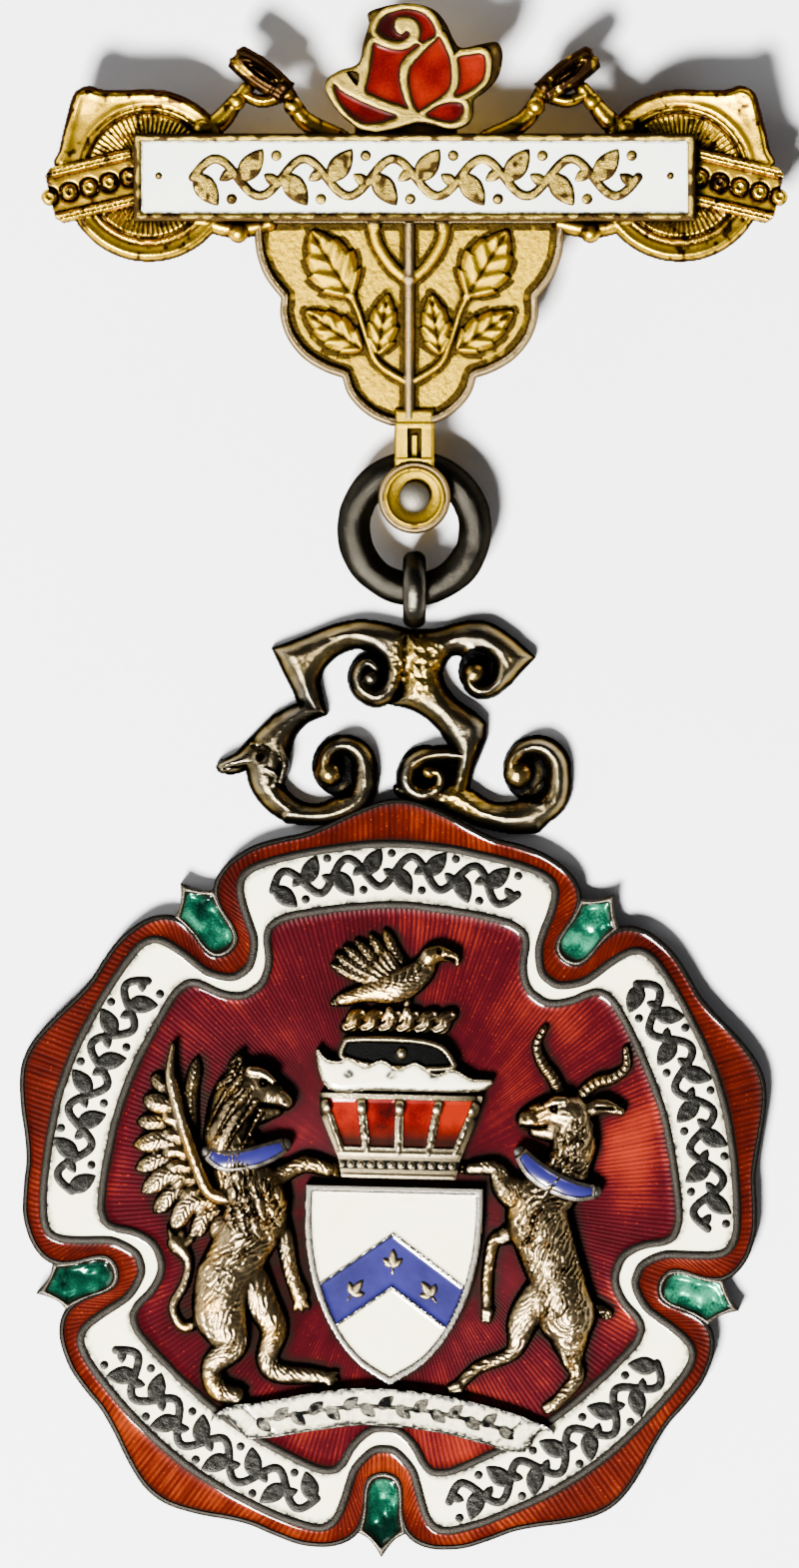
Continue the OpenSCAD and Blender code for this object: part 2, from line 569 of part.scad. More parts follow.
// Columns: across and up at the base, across and up at the tip, width. Mirrored about the stem.
leaf_rows = [[-15.6, -31.6, -26.4, -14, 13.4], [-12.6, -46, -28, -35.6, 9.4],
    [-8.4, -47.4, -5.8, -31, 8.6]];
twig_rows = [[[-15.6, -31.6, 1.6], [-13.6, -36, 1.5], [-11, -44, 1.6], [-8, -50, 1.8], [0, -55, 2]],
    [[0, -27.4, 3], [-4.6, -23.6, 3], [-8.6, -17.4, 3], [-10, -11, 3]]];
leaf_teeth = 4;
vein_rise = 0.12;
twig_drop = 0.08;
bud_rows = [[-35.2, 23.6, 6.4], [-41, 27.8, 7.6], [-48.6, 33.4, 5.6]];
bud_stems = [[[-56, 12.6, 6], [-51.6, 16, 5.4], [-48.4, 20, 4.4], [-45, 24, 4]],
    [[-46, 22.6, 3], [-41, 20.8, 3.4], [-35.4, 22, 3]],
    [[-34, 23, 4], [-32, 19, 4.6], [-28.6, 15, 5], [-20, 10.4, 6]],
    [[-58, -11, 5], [-51, -13, 5], [-46, -13.4, 5], [-39, -12, 5]]];
knob_at = [-47.2, -14.6];
knob_r = 2.6;
beam_h = 24;

module mirrored() {
    children();
    mirror([1, 0, 0]) children();
}
module raised(points, h) {
    slab(scaled(points, bu), frame_z, h);
}
plaque_side = concat(outline(plaque_lobes), [plaque_lobes[2][4]]);
plaque_loop = concat(plaque_side, [for (q = reversed(plaque_side)) [-q.x, q.y]]);

// A leaf with toothed edges, from its base to its tip
function leaf(row) = let (n = 2 * leaf_teeth + 1, a = [row[0], row[1]], v = [row[2], row[3]] - a)
    let (t = unit(v), side = [-t.y, t.x])
    let (edge = [for (i = [0 : n]) let (s = i / n)
        [s, 0.5 * row[4] * pow(sin(180 * pow(s, 0.8)), 0.75) * (i % 2 == 0 ? 0.86 : 1)]])
    concat([for (e = edge) a + v * e.x + side * e.y],
        [for (i = [n - 1 : -1 : 1]) a + v * edge[i].x - side * edge[i].y]);
function leaf_vein(row) = [[row[0], row[1], 1.2], [(row[0] + row[2]) / 2, (row[1] + row[3]) / 2, 1],
    [row[2], row[3], 0.6]];

module hoop() {
    translate([-hoop_x * bu, hoop_y * bu, frame_z]) {
        difference() {
            cylinder(h = frame_t, r = hoop_r * bu);
            translate([0, 0, 0.55 * frame_t]) cylinder(h = frame_t, r = hoop_rib_r * bu);
            translate([0, 0, -1]) cylinder(h = frame_t + 2, r = hoop_hole_r * bu);
        }
        for (i = [0 : rib_count - 1]) rotate([0, 0, i * 360 / rib_count])
            translate([hoop_hole_r * bu + 0.3, -0.45 * bu, 0.3 * frame_t])
                cube([(hoop_rib_r - hoop_hole_r - 1.6) * bu - 0.3, 0.9 * bu, 0.45 * frame_t]);
    }
    raised(horn, frame_t);
}
module strap() {
    translate([-100 * bu + bead_r * bu, -5 * bu, 0]) rotate([0, 0, strap_tilt]) {
        slab([for (q = [[1, -strap_half], [strap_len, -strap_half], [strap_len, strap_half],
            [1, strap_half], [0, strap_half - 2], [0, 2 - strap_half]]) q * bu], frame_z, frame_t);
        for (s = [-1, 1]) slab([for (q = [[0.6, strap_half], [rail_len, strap_half],
            [rail_len, strap_half - rail_w], [0.6, strap_half - rail_w]]) [q.x, s * q.y] * bu],
            frame_z, 1.3 * frame_t);
        for (i = [0 : bead_count - 1]) translate([i * bead_pitch * bu, 0, frame_top])
            sphere(r = bead_r * bu);
        cylinder(h = frame_top, r = bead_r * bu * 0.98);
    }
}
module bud() {
    raised(band(bud_rows), 1.4 * frame_t);
    for (rows = bud_stems) raised(band(rows), frame_t);
    translate([-32.6 * bu, 19.4 * bu, frame_top]) sphere(r = 2.1 * bu);
    translate([knob_at.x * bu, knob_at.y * bu, frame_z]) cylinder(h = frame_t, r = knob_r * bu);
    translate([knob_at.x * bu, knob_at.y * bu, frame_top]) sphere(r = 0.8 * knob_r * bu);
}
module plaque() {
    translate([plaque_x * bu, 0, 0]) {
        difference() {
            raised(plaque_loop, frame_t);
            slab(scaled(shifted(plaque_loop, -plaque_rim), bu), frame_top - plaque_sink, 1);
        }
        raised([[-stem_w / 2, -10], [stem_w / 2, -10], [stem_w / 2, -66], [-stem_w / 2, -66]], frame_t);
        for (s = [1, -1]) mirror([s < 0 ? 1 : 0, 0, 0]) {
            for (row = leaf_rows) raised(leaf(row), frame_t);
            for (row = leaf_rows) raised(band(leaf_vein(row)), frame_t + vein_rise);
            for (rows = twig_rows) raised(band(rows), frame_t - twig_drop);
        }
    }
}
neck_overlap = 1;
groove_depth = 0.15;
groove_out = 0.86;
groove_in = 0.68;
slot_w = 0.4;
slot_depth = 0.25;
slot_margin = 0.1;
module frame_neck() {
    joint_len = neck_len - (ring_y + ring_r + ring_wire / 2 + ring_clear - boss_y);
    translate([-neck_w / 2, boss_y, frame_z]) cube([neck_w, neck_len + neck_overlap, frame_t]);
    translate([0, boss_y, frame_z]) cylinder(h = frame_t, r = boss_r);
    translate([-neck_w / 2, plaque_y - joint_len, strap_z]) cube([neck_w, joint_len, frame_top - strap_z]);
    translate([-neck_w / 2, boss_y, strap_z]) cube([neck_w, neck_len, strap_t]);
    translate([0, boss_y, strap_z]) cylinder(h = strap_t, r = neck_w / 2);
}
module brooch_frame() {
    color("goldenrod") difference() {
        union() {
            on_axis(brooch_y) {
                mirrored() {
                    hoop();
                    strap();
                    bud();
                }
                plaque();
                translate([-hoop_x * bu, -beam_h / 2 * bu, frame_z])
                    cube([2 * hoop_x * bu, beam_h * bu, frame_t]);
                rose_backing();
            }
            on_axis(0) frame_neck();
        }
        on_axis(boss_y) translate([0, 0, strap_z - 1])
            cylinder(h = frame_top - strap_z + 2, r = post_r + gap);
        on_axis(boss_y) translate([0, 0, frame_top - groove_depth]) difference() {
            cylinder(h = 1, r = groove_out * boss_r);
            translate([0, 0, -1]) cylinder(h = 3, r = groove_in * boss_r);
        }
        on_axis(boss_y + boss_r) translate([-neck_w * slot_w / 2, slot_margin, frame_top - slot_depth])
            cube([neck_w * slot_w, neck_len - boss_r - 3 * slot_margin, 1]);
    }
}
dome_foot = 0.15;
module boss_rivet() {
    color("silver") on_axis(boss_y) {
        translate([0, 0, strap_z]) cylinder(h = frame_top - strap_z + 2 * gap, r = post_r);
        translate([0, 0, frame_top + gap]) cylinder(h = dome_foot, r = dome_r);
        intersection() {
            translate([0, 0, frame_top + gap + dome_foot]) sphere(r = dome_r);
            translate([-dome_r, -dome_r, frame_top + 2 * gap]) cube(2 * dome_r);
        }
    }
}
module suspension_ring() {
    color("dimgray") on_axis(ring_y) translate([0, 0, ring_z]) rotate_extrude()
        translate([ring_r, 0]) circle(d = ring_wire);
}

// Name bar with an enamel panel
module bar_box(w, h, z, t) {
    translate([-w / 2, -h / 2, z]) cube([w, h, t]);
}
module name_bar() {
    color("darkkhaki") on_axis(brooch_y) difference() {
        bar_box(bar_w, bar_h, bar_z, bar_t);
        bar_box(bar_w - 2 * bar_rim, bar_h - 2 * bar_rim, bar_z + bar_t - small_cell, 1);
    }
}
module name_bar_enamel() {
    inset = 2 * bar_rim + 2 * gap;
    color("ivory") on_axis(brooch_y)
        bar_box(bar_w - inset, bar_h - inset, bar_z + bar_t - small_cell + gap, small_fill);
}

// Rose above the bar, in hundredths of rose_w from the middle of the bar's top edge
rose_outline = [[-50, 24], [-48.6, 30], [-42, 34.6], [-31.6, 38.6], [-28.6, 50], [-25.6, 61], [-26, 67],
    [-17, 70.6], [-7, 72.3], [3, 71.6], [12, 68], [18, 60.6], [22, 52], [26.4, 47.4], [37, 49.4],
    [46, 50.6], [49.4, 45], [48.6, 36], [45.6, 29], [39.6, 23], [33.6, 18.4], [33, 10], [29.6, 4.4],
    [21, 1.6], [8, 4.6], [1, 5.4], [-8, 2.6], [-20, 0.2], [-30, 1.6], [-39, 8], [-46, 16]];
rose_cells = [
    [[-45.4, 27.4], [-34, 20.4], [-20, 14.4], [-7, 9.4], [-14, 5.6], [-22, 4.2], [-30, 6.4], [-37, 13],
        [-43, 21]],
    [[-23.4, 50.6], [-13, 47.4], [-5, 46.6], [1, 48], [-6, 41.6], [-9.4, 35], [-8.4, 25], [-5, 14.6],
        [-16, 16.4], [-28, 21.4], [-26, 32]],
    [[14, 50], [18.4, 45], [21.6, 38.4], [22.2, 30], [19, 21.6], [10, 17], [0.6, 12.4], [-3.4, 24],
        [-4, 33], [-0.6, 38.6], [8, 46]],
    [[25, 41.4], [36, 43.4], [40, 41], [40.2, 33], [36, 26.4], [30, 22.6], [24.4, 20.4], [27, 29]],
    [[7, 8.4], [12, 13], [18, 16], [26, 16], [29.4, 12], [27, 7], [20, 4.8], [12, 5.4]],
    [[-20.4, 58], [-13, 64.6], [-4, 67.4], [6, 64.8], [12, 58], [11, 52.4], [6, 49.6], [2.4, 52.4],
        [3, 58], [-1, 63.4], [-6, 64.8], [-11, 61.4], [-11.4, 55.6], [-8, 52], [-13, 52.4]]];
rose_z = frame_top + gap;
// Backing that joins the rose to the beam: how far it lies in from the rose's edge, then the left,
// right and top of its lug
rose_inset = 4;
rose_tab = [-34, 24, 10];
module rose_backing() {
    translate([0, rose_y, 0]) slab(scaled(shifted(rose_outline, -rose_inset), ru), frame_z, frame_t);
    translate([rose_tab[0] * ru, 0, frame_z])
        cube([(rose_tab[1] - rose_tab[0]) * ru, rose_y + rose_tab[2] * ru, frame_t]);
}
module rose() {
    color("darkkhaki") on_axis(brooch_y + rose_y) difference() {
        slab(scaled(rose_outline, ru), rose_z, rose_t);
        for (c = rose_cells) slab(scaled(c, ru), rose_z + rose_t - small_cell, 1);
    }
}
module rose_enamel(i) {
    color("red") on_axis(brooch_y + rose_y)
        slab(shifted(scaled(rose_cells[i], ru), -gap), rose_z + rose_t - small_cell + gap,
            small_fill);
}

// Brooch pin behind the bar, one plain piece
module brooch_pin() {
    post_h = frame_z - gap;
    color("darkgoldenrod") on_axis(brooch_y) {
        translate([-pin_len / 2, 0, pin_wire / 2]) rotate([0, 90, 0]) cylinder(h = pin_len, d = pin_wire);
        for (x = [-pin_len / 2, pin_len / 2]) translate([x - pin_wire, -pin_wire, 0])
            cube([2 * pin_wire, 2 * pin_wire, post_h]);
    }
}

brooch_frame();
name_bar();
name_bar_enamel();
rose();
for (i = [0 : len(rose_cells) - 1]) rose_enamel(i);
boss_rivet();
brooch_pin();
suspension_ring();
pendant_frame();
petal_enamel();
white_enamel();
field_enamel();
for (i = [0 : PETALS - 1]) sepal_enamel(i);
lion();
collar(lion_collar_rows);  // lion_collar
antelope();
collar(antelope_collar_rows);  // antelope_collar
shield();
shield_white();
shield_blue();
coronet();
for (i = [0 : len(coronet_posts) - 2])
    coronet_enamel(i);
cap();
brim_enamel();
crest_bird();
banner();
banner_enamel();
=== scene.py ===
"""Dressed model of the enamelled jewel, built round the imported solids."""
import math

import bpy
import numpy as np
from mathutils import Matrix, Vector
from mathutils.geometry import delaunay_2d_cdt


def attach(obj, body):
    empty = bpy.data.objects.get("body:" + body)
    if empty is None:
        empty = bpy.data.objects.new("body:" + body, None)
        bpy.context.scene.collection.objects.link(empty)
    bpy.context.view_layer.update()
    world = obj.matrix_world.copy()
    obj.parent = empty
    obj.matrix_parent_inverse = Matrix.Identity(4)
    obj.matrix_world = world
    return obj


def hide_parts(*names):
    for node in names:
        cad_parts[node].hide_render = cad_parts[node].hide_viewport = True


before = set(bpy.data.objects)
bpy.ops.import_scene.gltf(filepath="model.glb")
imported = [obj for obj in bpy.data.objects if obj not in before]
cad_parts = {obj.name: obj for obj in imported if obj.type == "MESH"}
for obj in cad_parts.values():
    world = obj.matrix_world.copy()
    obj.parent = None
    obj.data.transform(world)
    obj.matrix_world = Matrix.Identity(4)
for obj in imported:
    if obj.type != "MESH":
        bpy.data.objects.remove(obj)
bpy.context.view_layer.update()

# ---------------------------------------------------------------- sizes, in millimetres
MM = 0.001
SHIFT = np.array([-0.58198, -19.502])
TURN = math.radians(-1.4)
AXIS_DX = 1.15
PU, HU, BU, RU = 0.1877, 0.168, 0.179, 0.0854
SECTOR = 72.0
WALL_Z, ENAMEL_Z, ENAMEL_FLOOR = 1.35, 1.25, 0.93
RING_R, RING_WIRE, RING_Z = 2.93, 1.66, 1.93
LOOP_R, LOOP_WIRE = 1.42, 0.92
STRAP_Z, FRAME_Z, FRAME_TOP = 0.42, 2.89, 3.69
BAR_Z, BAR_TOP = 3.72, 4.82
HANGER_Y, LOOP_Y, RING_Y, BOSS_Y = 18.77, 28.798, 31.728, 33.198
BROOCH_Y, ROSE_Y = 48.506, 50.656
COARSE = 1


def turned(p, angle):
    """The points turned anticlockwise round the origin."""
    c, s = math.cos(angle), math.sin(angle)
    return np.stack([c * p[:, 0] - s * p[:, 1], s * p[:, 0] + c * p[:, 1]], 1)


def on_pendant(p):
    """From the pendant's own drawing to the jewel's frame."""
    return turned(p, TURN) + SHIFT


def on_axis(y):
    """From a drawing on the brooch's axis at height y to the jewel's frame."""
    return lambda p: p + SHIFT + np.array([AXIS_DX, y])


def unit(a):
    """Kept within 0 and 1."""
    return np.clip(a, 0, 1)


def verge(depth, width):
    """1 at an edge, falling to 0 at width inside it."""
    return unit(1 - depth / width)


def bell(a, width):
    return np.exp(-(a / width) ** 2)


def dome(d):
    """Height of a ball of radius 1 at distance d from its middle, 0 outside."""
    return np.sqrt(unit(1 - d * d))


def heading(degrees):
    a = math.radians(degrees)
    return np.array([math.cos(a), math.sin(a)])


def raised(Z, z, where):
    """Z lifted to z where z is higher, in the marked places only."""
    return np.where(where, np.maximum(Z, z), Z)


# ---------------------------------------------------------------- curves
def spline(points, closed=False, steps=8):
    """Catmull-Rom curve through the points, with any number of columns."""
    p = np.asarray(points, float)
    n = len(p)
    t = (np.arange(steps) / steps)[:, None]
    out = []
    for i in range(n if closed else n - 1):
        if closed:
            a, b, c, d = p[i - 1], p[i], p[(i + 1) % n], p[(i + 2) % n]
        else:
            a, b, c, d = p[max(i - 1, 0)], p[i], p[i + 1], p[min(i + 2, n - 1)]
        out.append(0.5 * (2 * b + (c - a) * t + (2 * a - 5 * b + 4 * c - d) * t**2
                          + (3 * b - a - 3 * c + d) * t**3))
    if not closed:
        out.append(p[-1:])
    return np.concatenate(out)


def lengths(p):
    """Length along the path at each of its points."""
    return np.concatenate([[0], np.cumsum(np.linalg.norm(np.diff(p[:, :2], axis=0), axis=1))])


def resample(p, count):
    """The same path with points at even spacing."""
    s = lengths(p)
    at = np.linspace(0, s[-1], count)
    return np.stack([np.interp(at, s, p[:, k]) for k in range(p.shape[1])], 1)


def normals(p, closed=True):
    """Unit normals on the left of the path."""
    if closed:
        t = np.roll(p, -1, 0) - np.roll(p, 1, 0)
    else:
        t = np.gradient(p, axis=0)
    t = t[:, :2] / np.maximum(np.linalg.norm(t[:, :2], axis=1, keepdims=True), 1e-9)
    return np.stack([-t[:, 1], t[:, 0]], 1)


def mirror_x(p):
    q = np.array(p, float)
    q[:, 0] *= -1
    return q


def outline(runs):
    """One loop of smooth runs that meet in corners."""
    return np.concatenate([spline(run)[:-1] for run in runs])


def open_side(runs):
    return np.concatenate([outline(runs), [runs[-1][-1]]])


def both_sides(runs):
    """A closed loop from its right side, which starts and ends on the axis."""
    side = open_side(runs)
    return np.concatenate([side, mirror_x(side[-2:0:-1])])


def smooth_loop(table, scale, steps):
    return spline(table, closed=True, steps=steps) * scale


# ---------------------------------------------------------------- materials
def rgb(r, g, b):
    return (r, g, b, 1.0)


class Nodes:
    """Short hand for the node tree of a material or world."""

    def __init__(self, owner):
        owner.use_nodes = True
        self.owner, self.tree = owner, owner.node_tree
        self.shader = next(n for n in self.tree.nodes if n.type in ("BSDF_PRINCIPLED", "BACKGROUND"))

    def add(self, kind, **values):
        """A node; each value goes to its input of that name, or else to its setting."""
        node = self.tree.nodes.new(kind)
        for key, value in values.items():
            if key in node.inputs.keys():
                node.inputs[key].default_value = value
            else:
                setattr(node, key, value)
        return node

    def feed(self, socket, value):
        """Sets the socket to a plain value, or links an output to it."""
        if isinstance(value, (int, float, tuple)):
            socket.default_value = value
        else:
            self.tree.links.new(value, socket)

    def attribute(self, name):
        return self.add("ShaderNodeAttribute", attribute_name=name).outputs["Fac"]

    def place(self):
        """Object coordinates in millimetres."""
        grow = self.add("ShaderNodeVectorMath", operation="SCALE", Scale=1000.0)
        self.feed(grow.inputs[0], self.add("ShaderNodeTexCoord").outputs["Object"])
        return grow.outputs[0]

    def noise(self, scale, detail, rough, place):
        node = self.add("ShaderNodeTexNoise", Scale=scale, Detail=detail, Roughness=rough)
        self.feed(node.inputs["Vector"], place)
        return node.outputs["Fac"]

    def math(self, op, a, b=0.0, clamp=False):
        node = self.add("ShaderNodeMath", operation=op, use_clamp=clamp)
        self.feed(node.inputs[0], a)
        self.feed(node.inputs[1], b)
        return node.outputs[0]

    def plus(self, a, b):
        return self.math("ADD", a, b)

    def minus(self, a, b, clamp=False):
        return self.math("SUBTRACT", a, b, clamp)

    def times(self, a, b, clamp=False):
        return self.math("MULTIPLY", a, b, clamp)

    def remap(self, value, low, high, to_low=0.0, to_high=1.0):
        """Spreads low to high over the new range, and keeps within it."""
        node = self.add("ShaderNodeMapRange")
        for key, v in (("Value", value), ("From Min", low), ("From Max", high), ("To Min", to_low),
                       ("To Max", to_high)):
            self.feed(node.inputs[key], v)
        return node.outputs["Result"]

    def ramp(self, value, stops):
        node = self.add("ShaderNodeValToRGB")
        bar = node.color_ramp
        while len(bar.elements) < len(stops):
            bar.elements.new(0.5)
        for element, (at, colour) in zip(bar.elements, stops):
            element.position = at
            element.color = colour
        self.feed(node.inputs["Fac"], value)
        return node.outputs["Color"]

    def mix(self, fac, a, b):
        """From colour a at 0 to b at 1; the factor is kept within 0 and 1."""
        node = self.add("ShaderNodeMix", data_type="RGBA")
        for i, v in ((0, fac), (6, a), (7, b)):
            self.feed(node.inputs[i], v)
        return node.outputs[2]

    def bump(self, height, strength, distance):
        node = self.add("ShaderNodeBump", Strength=strength, Distance=distance)
        self.feed(node.inputs["Height"], height)
        return node.outputs["Normal"]

    def set(self, **values):
        for key, value in values.items():
            self.feed(self.shader.inputs[key.replace("_", " ")], value)


def metal(name, bright, dull, dark, gold=(0.95, 0.66, 0.22), wear=0.5, rough=(0.22, 0.5), grain=0.12,
          cavity=(0.35, 0.9), spread=0.0004, edge=0.35):
    """Cast metal: bright where rubbed, dull in the flats; tarnish and painted shade in recesses and on
    sides.
    """
    n = Nodes(bpy.data.materials.new(name))
    place = n.place()
    # Painted shade: ambient occlusion darkens recesses towards the dark colour, along with the tarnish
    # there.
    ao = n.remap(n.add("ShaderNodeAmbientOcclusion", samples=6, Distance=spread).outputs["AO"], *cavity)
    blotch = n.noise(0.9, 5.0, 0.6, place)
    fine = n.noise(7.0, 4.0, 0.6, place)
    level = n.plus(n.times(blotch, 0.7), n.times(fine, 0.3))
    level = n.remap(level, 0.5 - 0.25 * (1.2 - wear), 0.5 + 0.22 * (1.2 - wear))
    level = n.plus(n.times(level, 0.55), n.times(n.attribute("ridge"), 0.65))
    # The hollow and patina attributes darken further: painted shade in hollows and on sides, and real
    # patina.
    open_up = n.minus(1.0, n.attribute("hollow"), clamp=True)
    ao = n.times(ao, open_up, clamp=True)
    patina_and_shade = n.remap(n.plus(n.attribute("patina_and_shade"), n.times(blotch, 0.6)), 0.75, 1.05)
    ao = n.times(ao, n.minus(1.0, patina_and_shade), clamp=True)
    colour = n.mix(level, rgb(*dull), rgb(*bright))
    colour = n.mix(n.attribute("gold"), colour, rgb(*gold))
    colour = n.mix(ao, rgb(*dark), colour)
    roughness = n.remap(n.plus(level, n.times(ao, 0.6)), 0.2, 1.5, rough[1], rough[0])
    pits = n.plus(n.noise(11.0, 3.0, 0.6, place), n.times(n.noise(34.0, 2.0, 0.5, place), 0.5))
    n.set(Base_Color=colour, Metallic=1.0, Roughness=roughness, Specular_Tint=rgb(edge, edge, edge),
          Normal=n.bump(pits, grain, 0.00006))
    return n.owner


def enamel(name, deep, mid, light, lines=None, line_scale=1.0, patches=0.5, grain=0.2, metallic=0.35,
           rough=0.35):
    """Translucent glass over cut metal: clear coat on a coloured, finely ribbed ground."""
    n = Nodes(bpy.data.materials.new(name))
    place = n.place()
    cloud = n.noise(0.35, 3.0, 0.5, place)
    grime_and_shade = n.attribute("grime_and_shade")
    glow = n.attribute("glow")
    level = n.plus(n.remap(cloud, 0.32, 0.68, 0.5 - patches / 2, 0.5 + patches / 2), glow)
    if lines:
        u = n.times(n.attribute(lines), line_scale)
        wave = n.math("SINE", n.times(u, 2 * math.pi))
        each = n.add("ShaderNodeTexWhiteNoise", noise_dimensions="1D")
        n.feed(each.inputs["W"], n.math("FLOOR", u))
        shimmer = n.remap(n.noise(2.2, 3.0, 0.6, place), 0.3, 0.7, 0.04, 0.15)
        level = n.plus(level, n.times(wave, shimmer))
        level = n.plus(level, n.times(n.minus(each.outputs["Value"], 0.5), 0.12))
        glint = n.times(n.remap(n.noise(7.0, 3.0, 0.7, place), 0.60, 0.74), n.remap(wave, 0.0, 1.0))
        level = n.plus(level, n.times(glint, 0.75))
        n.set(Normal=n.bump(wave, 0.15, 0.00004))
    speck = n.noise(9.0, 4.0, 0.65, place)
    level = n.plus(level, n.times(n.minus(speck, 0.5), grain))
    colour = n.ramp(level, [(0.05, rgb(*deep)), (0.5, rgb(*mid)), (0.95, rgb(*light))])
    # Near-black where the attribute marks dirt, and painted shade where a cell sets it.
    colour = n.mix(grime_and_shade, colour, rgb(0.006, 0.003, 0.002))
    skin = n.bump(n.noise(0.8, 2.0, 0.5, place), 0.05, 0.0002)
    n.set(Base_Color=colour, Metallic=metallic, Roughness=rough, Specular_IOR_Level=0.02,
          Coat_Weight=0.40, Coat_Roughness=0.06, Coat_IOR=1.5, Coat_Normal=skin)
    return n.owner


def opaque_enamel(name, pale, tint, stain_and_shade, chips=True):
    """Opaque glass with a few dark chips, and darkening from dirt along its walls and painted shade in
    folds.
    """
    n = Nodes(bpy.data.materials.new(name))
    place = n.place()
    cloud = n.noise(0.6, 3.0, 0.5, place)
    colour = n.mix(n.remap(cloud, 0.35, 0.7), rgb(*pale), rgb(*tint))
    grime_and_shade = n.attribute("grime_and_shade")
    # Dirt and painted shade, as the attribute marks them, blotched and mixed towards the stain colour.
    dirt_and_shade = n.times(grime_and_shade, n.remap(n.noise(3.5, 4.0, 0.6, place), 0.3, 0.65, 0.2, 1.7), clamp=True)
    colour = n.mix(dirt_and_shade, colour, rgb(*stain_and_shade))
    if chips:
        spots = n.noise(2.6, 5.0, 0.7, place)
        colour = n.mix(n.remap(spots, 0.725, 0.75), colour, rgb(0.16, 0.15, 0.15))
    n.set(Base_Color=colour, Roughness=0.22, Coat_Weight=0.6, Coat_Roughness=0.06,
          Normal=n.bump(n.noise(1.6, 3.0, 0.5, place), 0.12, 0.0001))
    return n.owner


MATS = {
    "gilt": metal("gilt", (0.86, 0.53, 0.012), (0.48, 0.275, 0.006), (0.022, 0.010, 0.003), wear=0.6,
                  rough=(0.22, 0.38), grain=0.25, cavity=(0.42, 0.97)),
    "satin": metal("satin_gilt", (0.55, 0.35, 0.006), (0.33, 0.20, 0.003), (0.024, 0.014, 0.002),
                   gold=(0.20, 0.145, 0.085), wear=0.4, rough=(0.36, 0.46), grain=0.6,
                   cavity=(0.35, 0.92)),
    "worn": metal("worn_gilt", (0.36, 0.25, 0.035), (0.17, 0.112, 0.018), (0.020, 0.011, 0.003),
                  gold=(0.20, 0.145, 0.085), wear=0.4, rough=(0.30, 0.42), grain=0.5,
                  cavity=(0.35, 0.92)),
    "figure": metal("figure_gilt", (0.56, 0.41, 0.20), (0.050, 0.030, 0.012), (0.002, 0.0015, 0.001),
                    gold=(0.50, 0.28, 0.05), wear=0.1, rough=(0.16, 0.30), grain=0.3, cavity=(0.45, 1.0),
                    spread=0.0006, edge=0.1),
    "pale_gilt": metal("pale_gilt", (0.38, 0.31, 0.175), (0.10, 0.072, 0.038), (0.002, 0.002, 0.002),
                       wear=0.4,
                       rough=(0.25, 0.42), grain=0.3, cavity=(0.35, 0.95), edge=0.1),
    "tarnish": metal("tarnished_silver", (0.085, 0.073, 0.055), (0.013, 0.012, 0.010),
                     (0.002, 0.002, 0.002),
                     wear=0.2, rough=(0.34, 0.50), grain=0.3, cavity=(0.3, 0.9), edge=0.05),
    "bronze": metal("bronze_silver", (0.165, 0.150, 0.115), (0.013, 0.012, 0.0095),
                    (0.0015, 0.0015, 0.0015),
                    gold=(0.46, 0.30, 0.05), wear=0.1, rough=(0.15, 0.29), grain=0.35,
                    cavity=(0.4, 0.98),
                    spread=0.0009, edge=0.04),
    "rivet": metal("rivet_silver", (0.34, 0.31, 0.25), (0.17, 0.155, 0.125), (0.03, 0.027, 0.02),
                   wear=0.4,
                   rough=(0.46, 0.58), grain=0.3, cavity=(0.8, 1.2), edge=0.3),
    "rim": metal("rim_silver", (0.026, 0.023, 0.019), (0.0055, 0.0052, 0.0048), (0.0015, 0.0015, 0.0015),
                 wear=0.1, rough=(0.42, 0.58), grain=0.5, cavity=(0.2, 0.8), edge=0.04),
    "niello": metal("niello", (0.022, 0.021, 0.018), (0.006, 0.006, 0.0055), (0.0015, 0.0015, 0.0015),
                    wear=0.2, rough=(0.24, 0.38), grain=0.3, edge=0.05),
    "dark": metal("dark_silver", (0.062, 0.055, 0.042), (0.004, 0.0038, 0.0033),
                  (0.0015, 0.0015, 0.0015),
                  wear=0.0, rough=(0.14, 0.28), grain=0.55, edge=0.04),
    "silver": metal("silver", (0.42, 0.385, 0.32), (0.14, 0.125, 0.10), (0.008, 0.007, 0.006), wear=0.4,
                    rough=(0.25, 0.40), grain=0.2, edge=0.1),
    "red": enamel("red_enamel", (0.008, 0.0003, 0.0002), (0.040, 0.0022, 0.0005), (0.17, 0.021, 0.002),
                  lines="along", line_scale=3.9, patches=0.45, metallic=0.2),
    "crimson": enamel("crimson_enamel", (0.008, 0.0003, 0.0008), (0.029, 0.0011, 0.0028),
                      (0.17, 0.013, 0.004), lines="along", line_scale=1.0, patches=0.3, metallic=0.2),
    "bright_red": enamel("bright_red_enamel", (0.010, 0.0002, 0.0003), (0.085, 0.0009, 0.0003),
                         (0.16, 0.006, 0.0004), patches=0.6, grain=0.7, metallic=0.15),
    "green": enamel("green_enamel", (0.0002, 0.006, 0.0035), (0.0015, 0.042, 0.022), (0.03, 0.25, 0.14),
                    patches=0.9, grain=1.0, metallic=0.5, rough=0.22),
    "white": opaque_enamel("white_enamel", (0.94, 0.90, 0.62), (0.90, 0.85, 0.55), (0.02, 0.02, 0.018)),
    "bar_white": opaque_enamel("bar_white_enamel", (0.84, 0.87, 0.76), (0.74, 0.78, 0.70),
                               (0.05, 0.04, 0.03)),
    "blue": opaque_enamel("blue_enamel", (0.007, 0.006, 0.052), (0.013, 0.011, 0.088),
                          (0.001, 0.001, 0.006),
                          chips=False),
}


# ---------------------------------------------------------------- meshes
def add_object(name, data):
    obj = bpy.data.objects.new(name, data)
    bpy.context.scene.collection.objects.link(obj)
    return obj


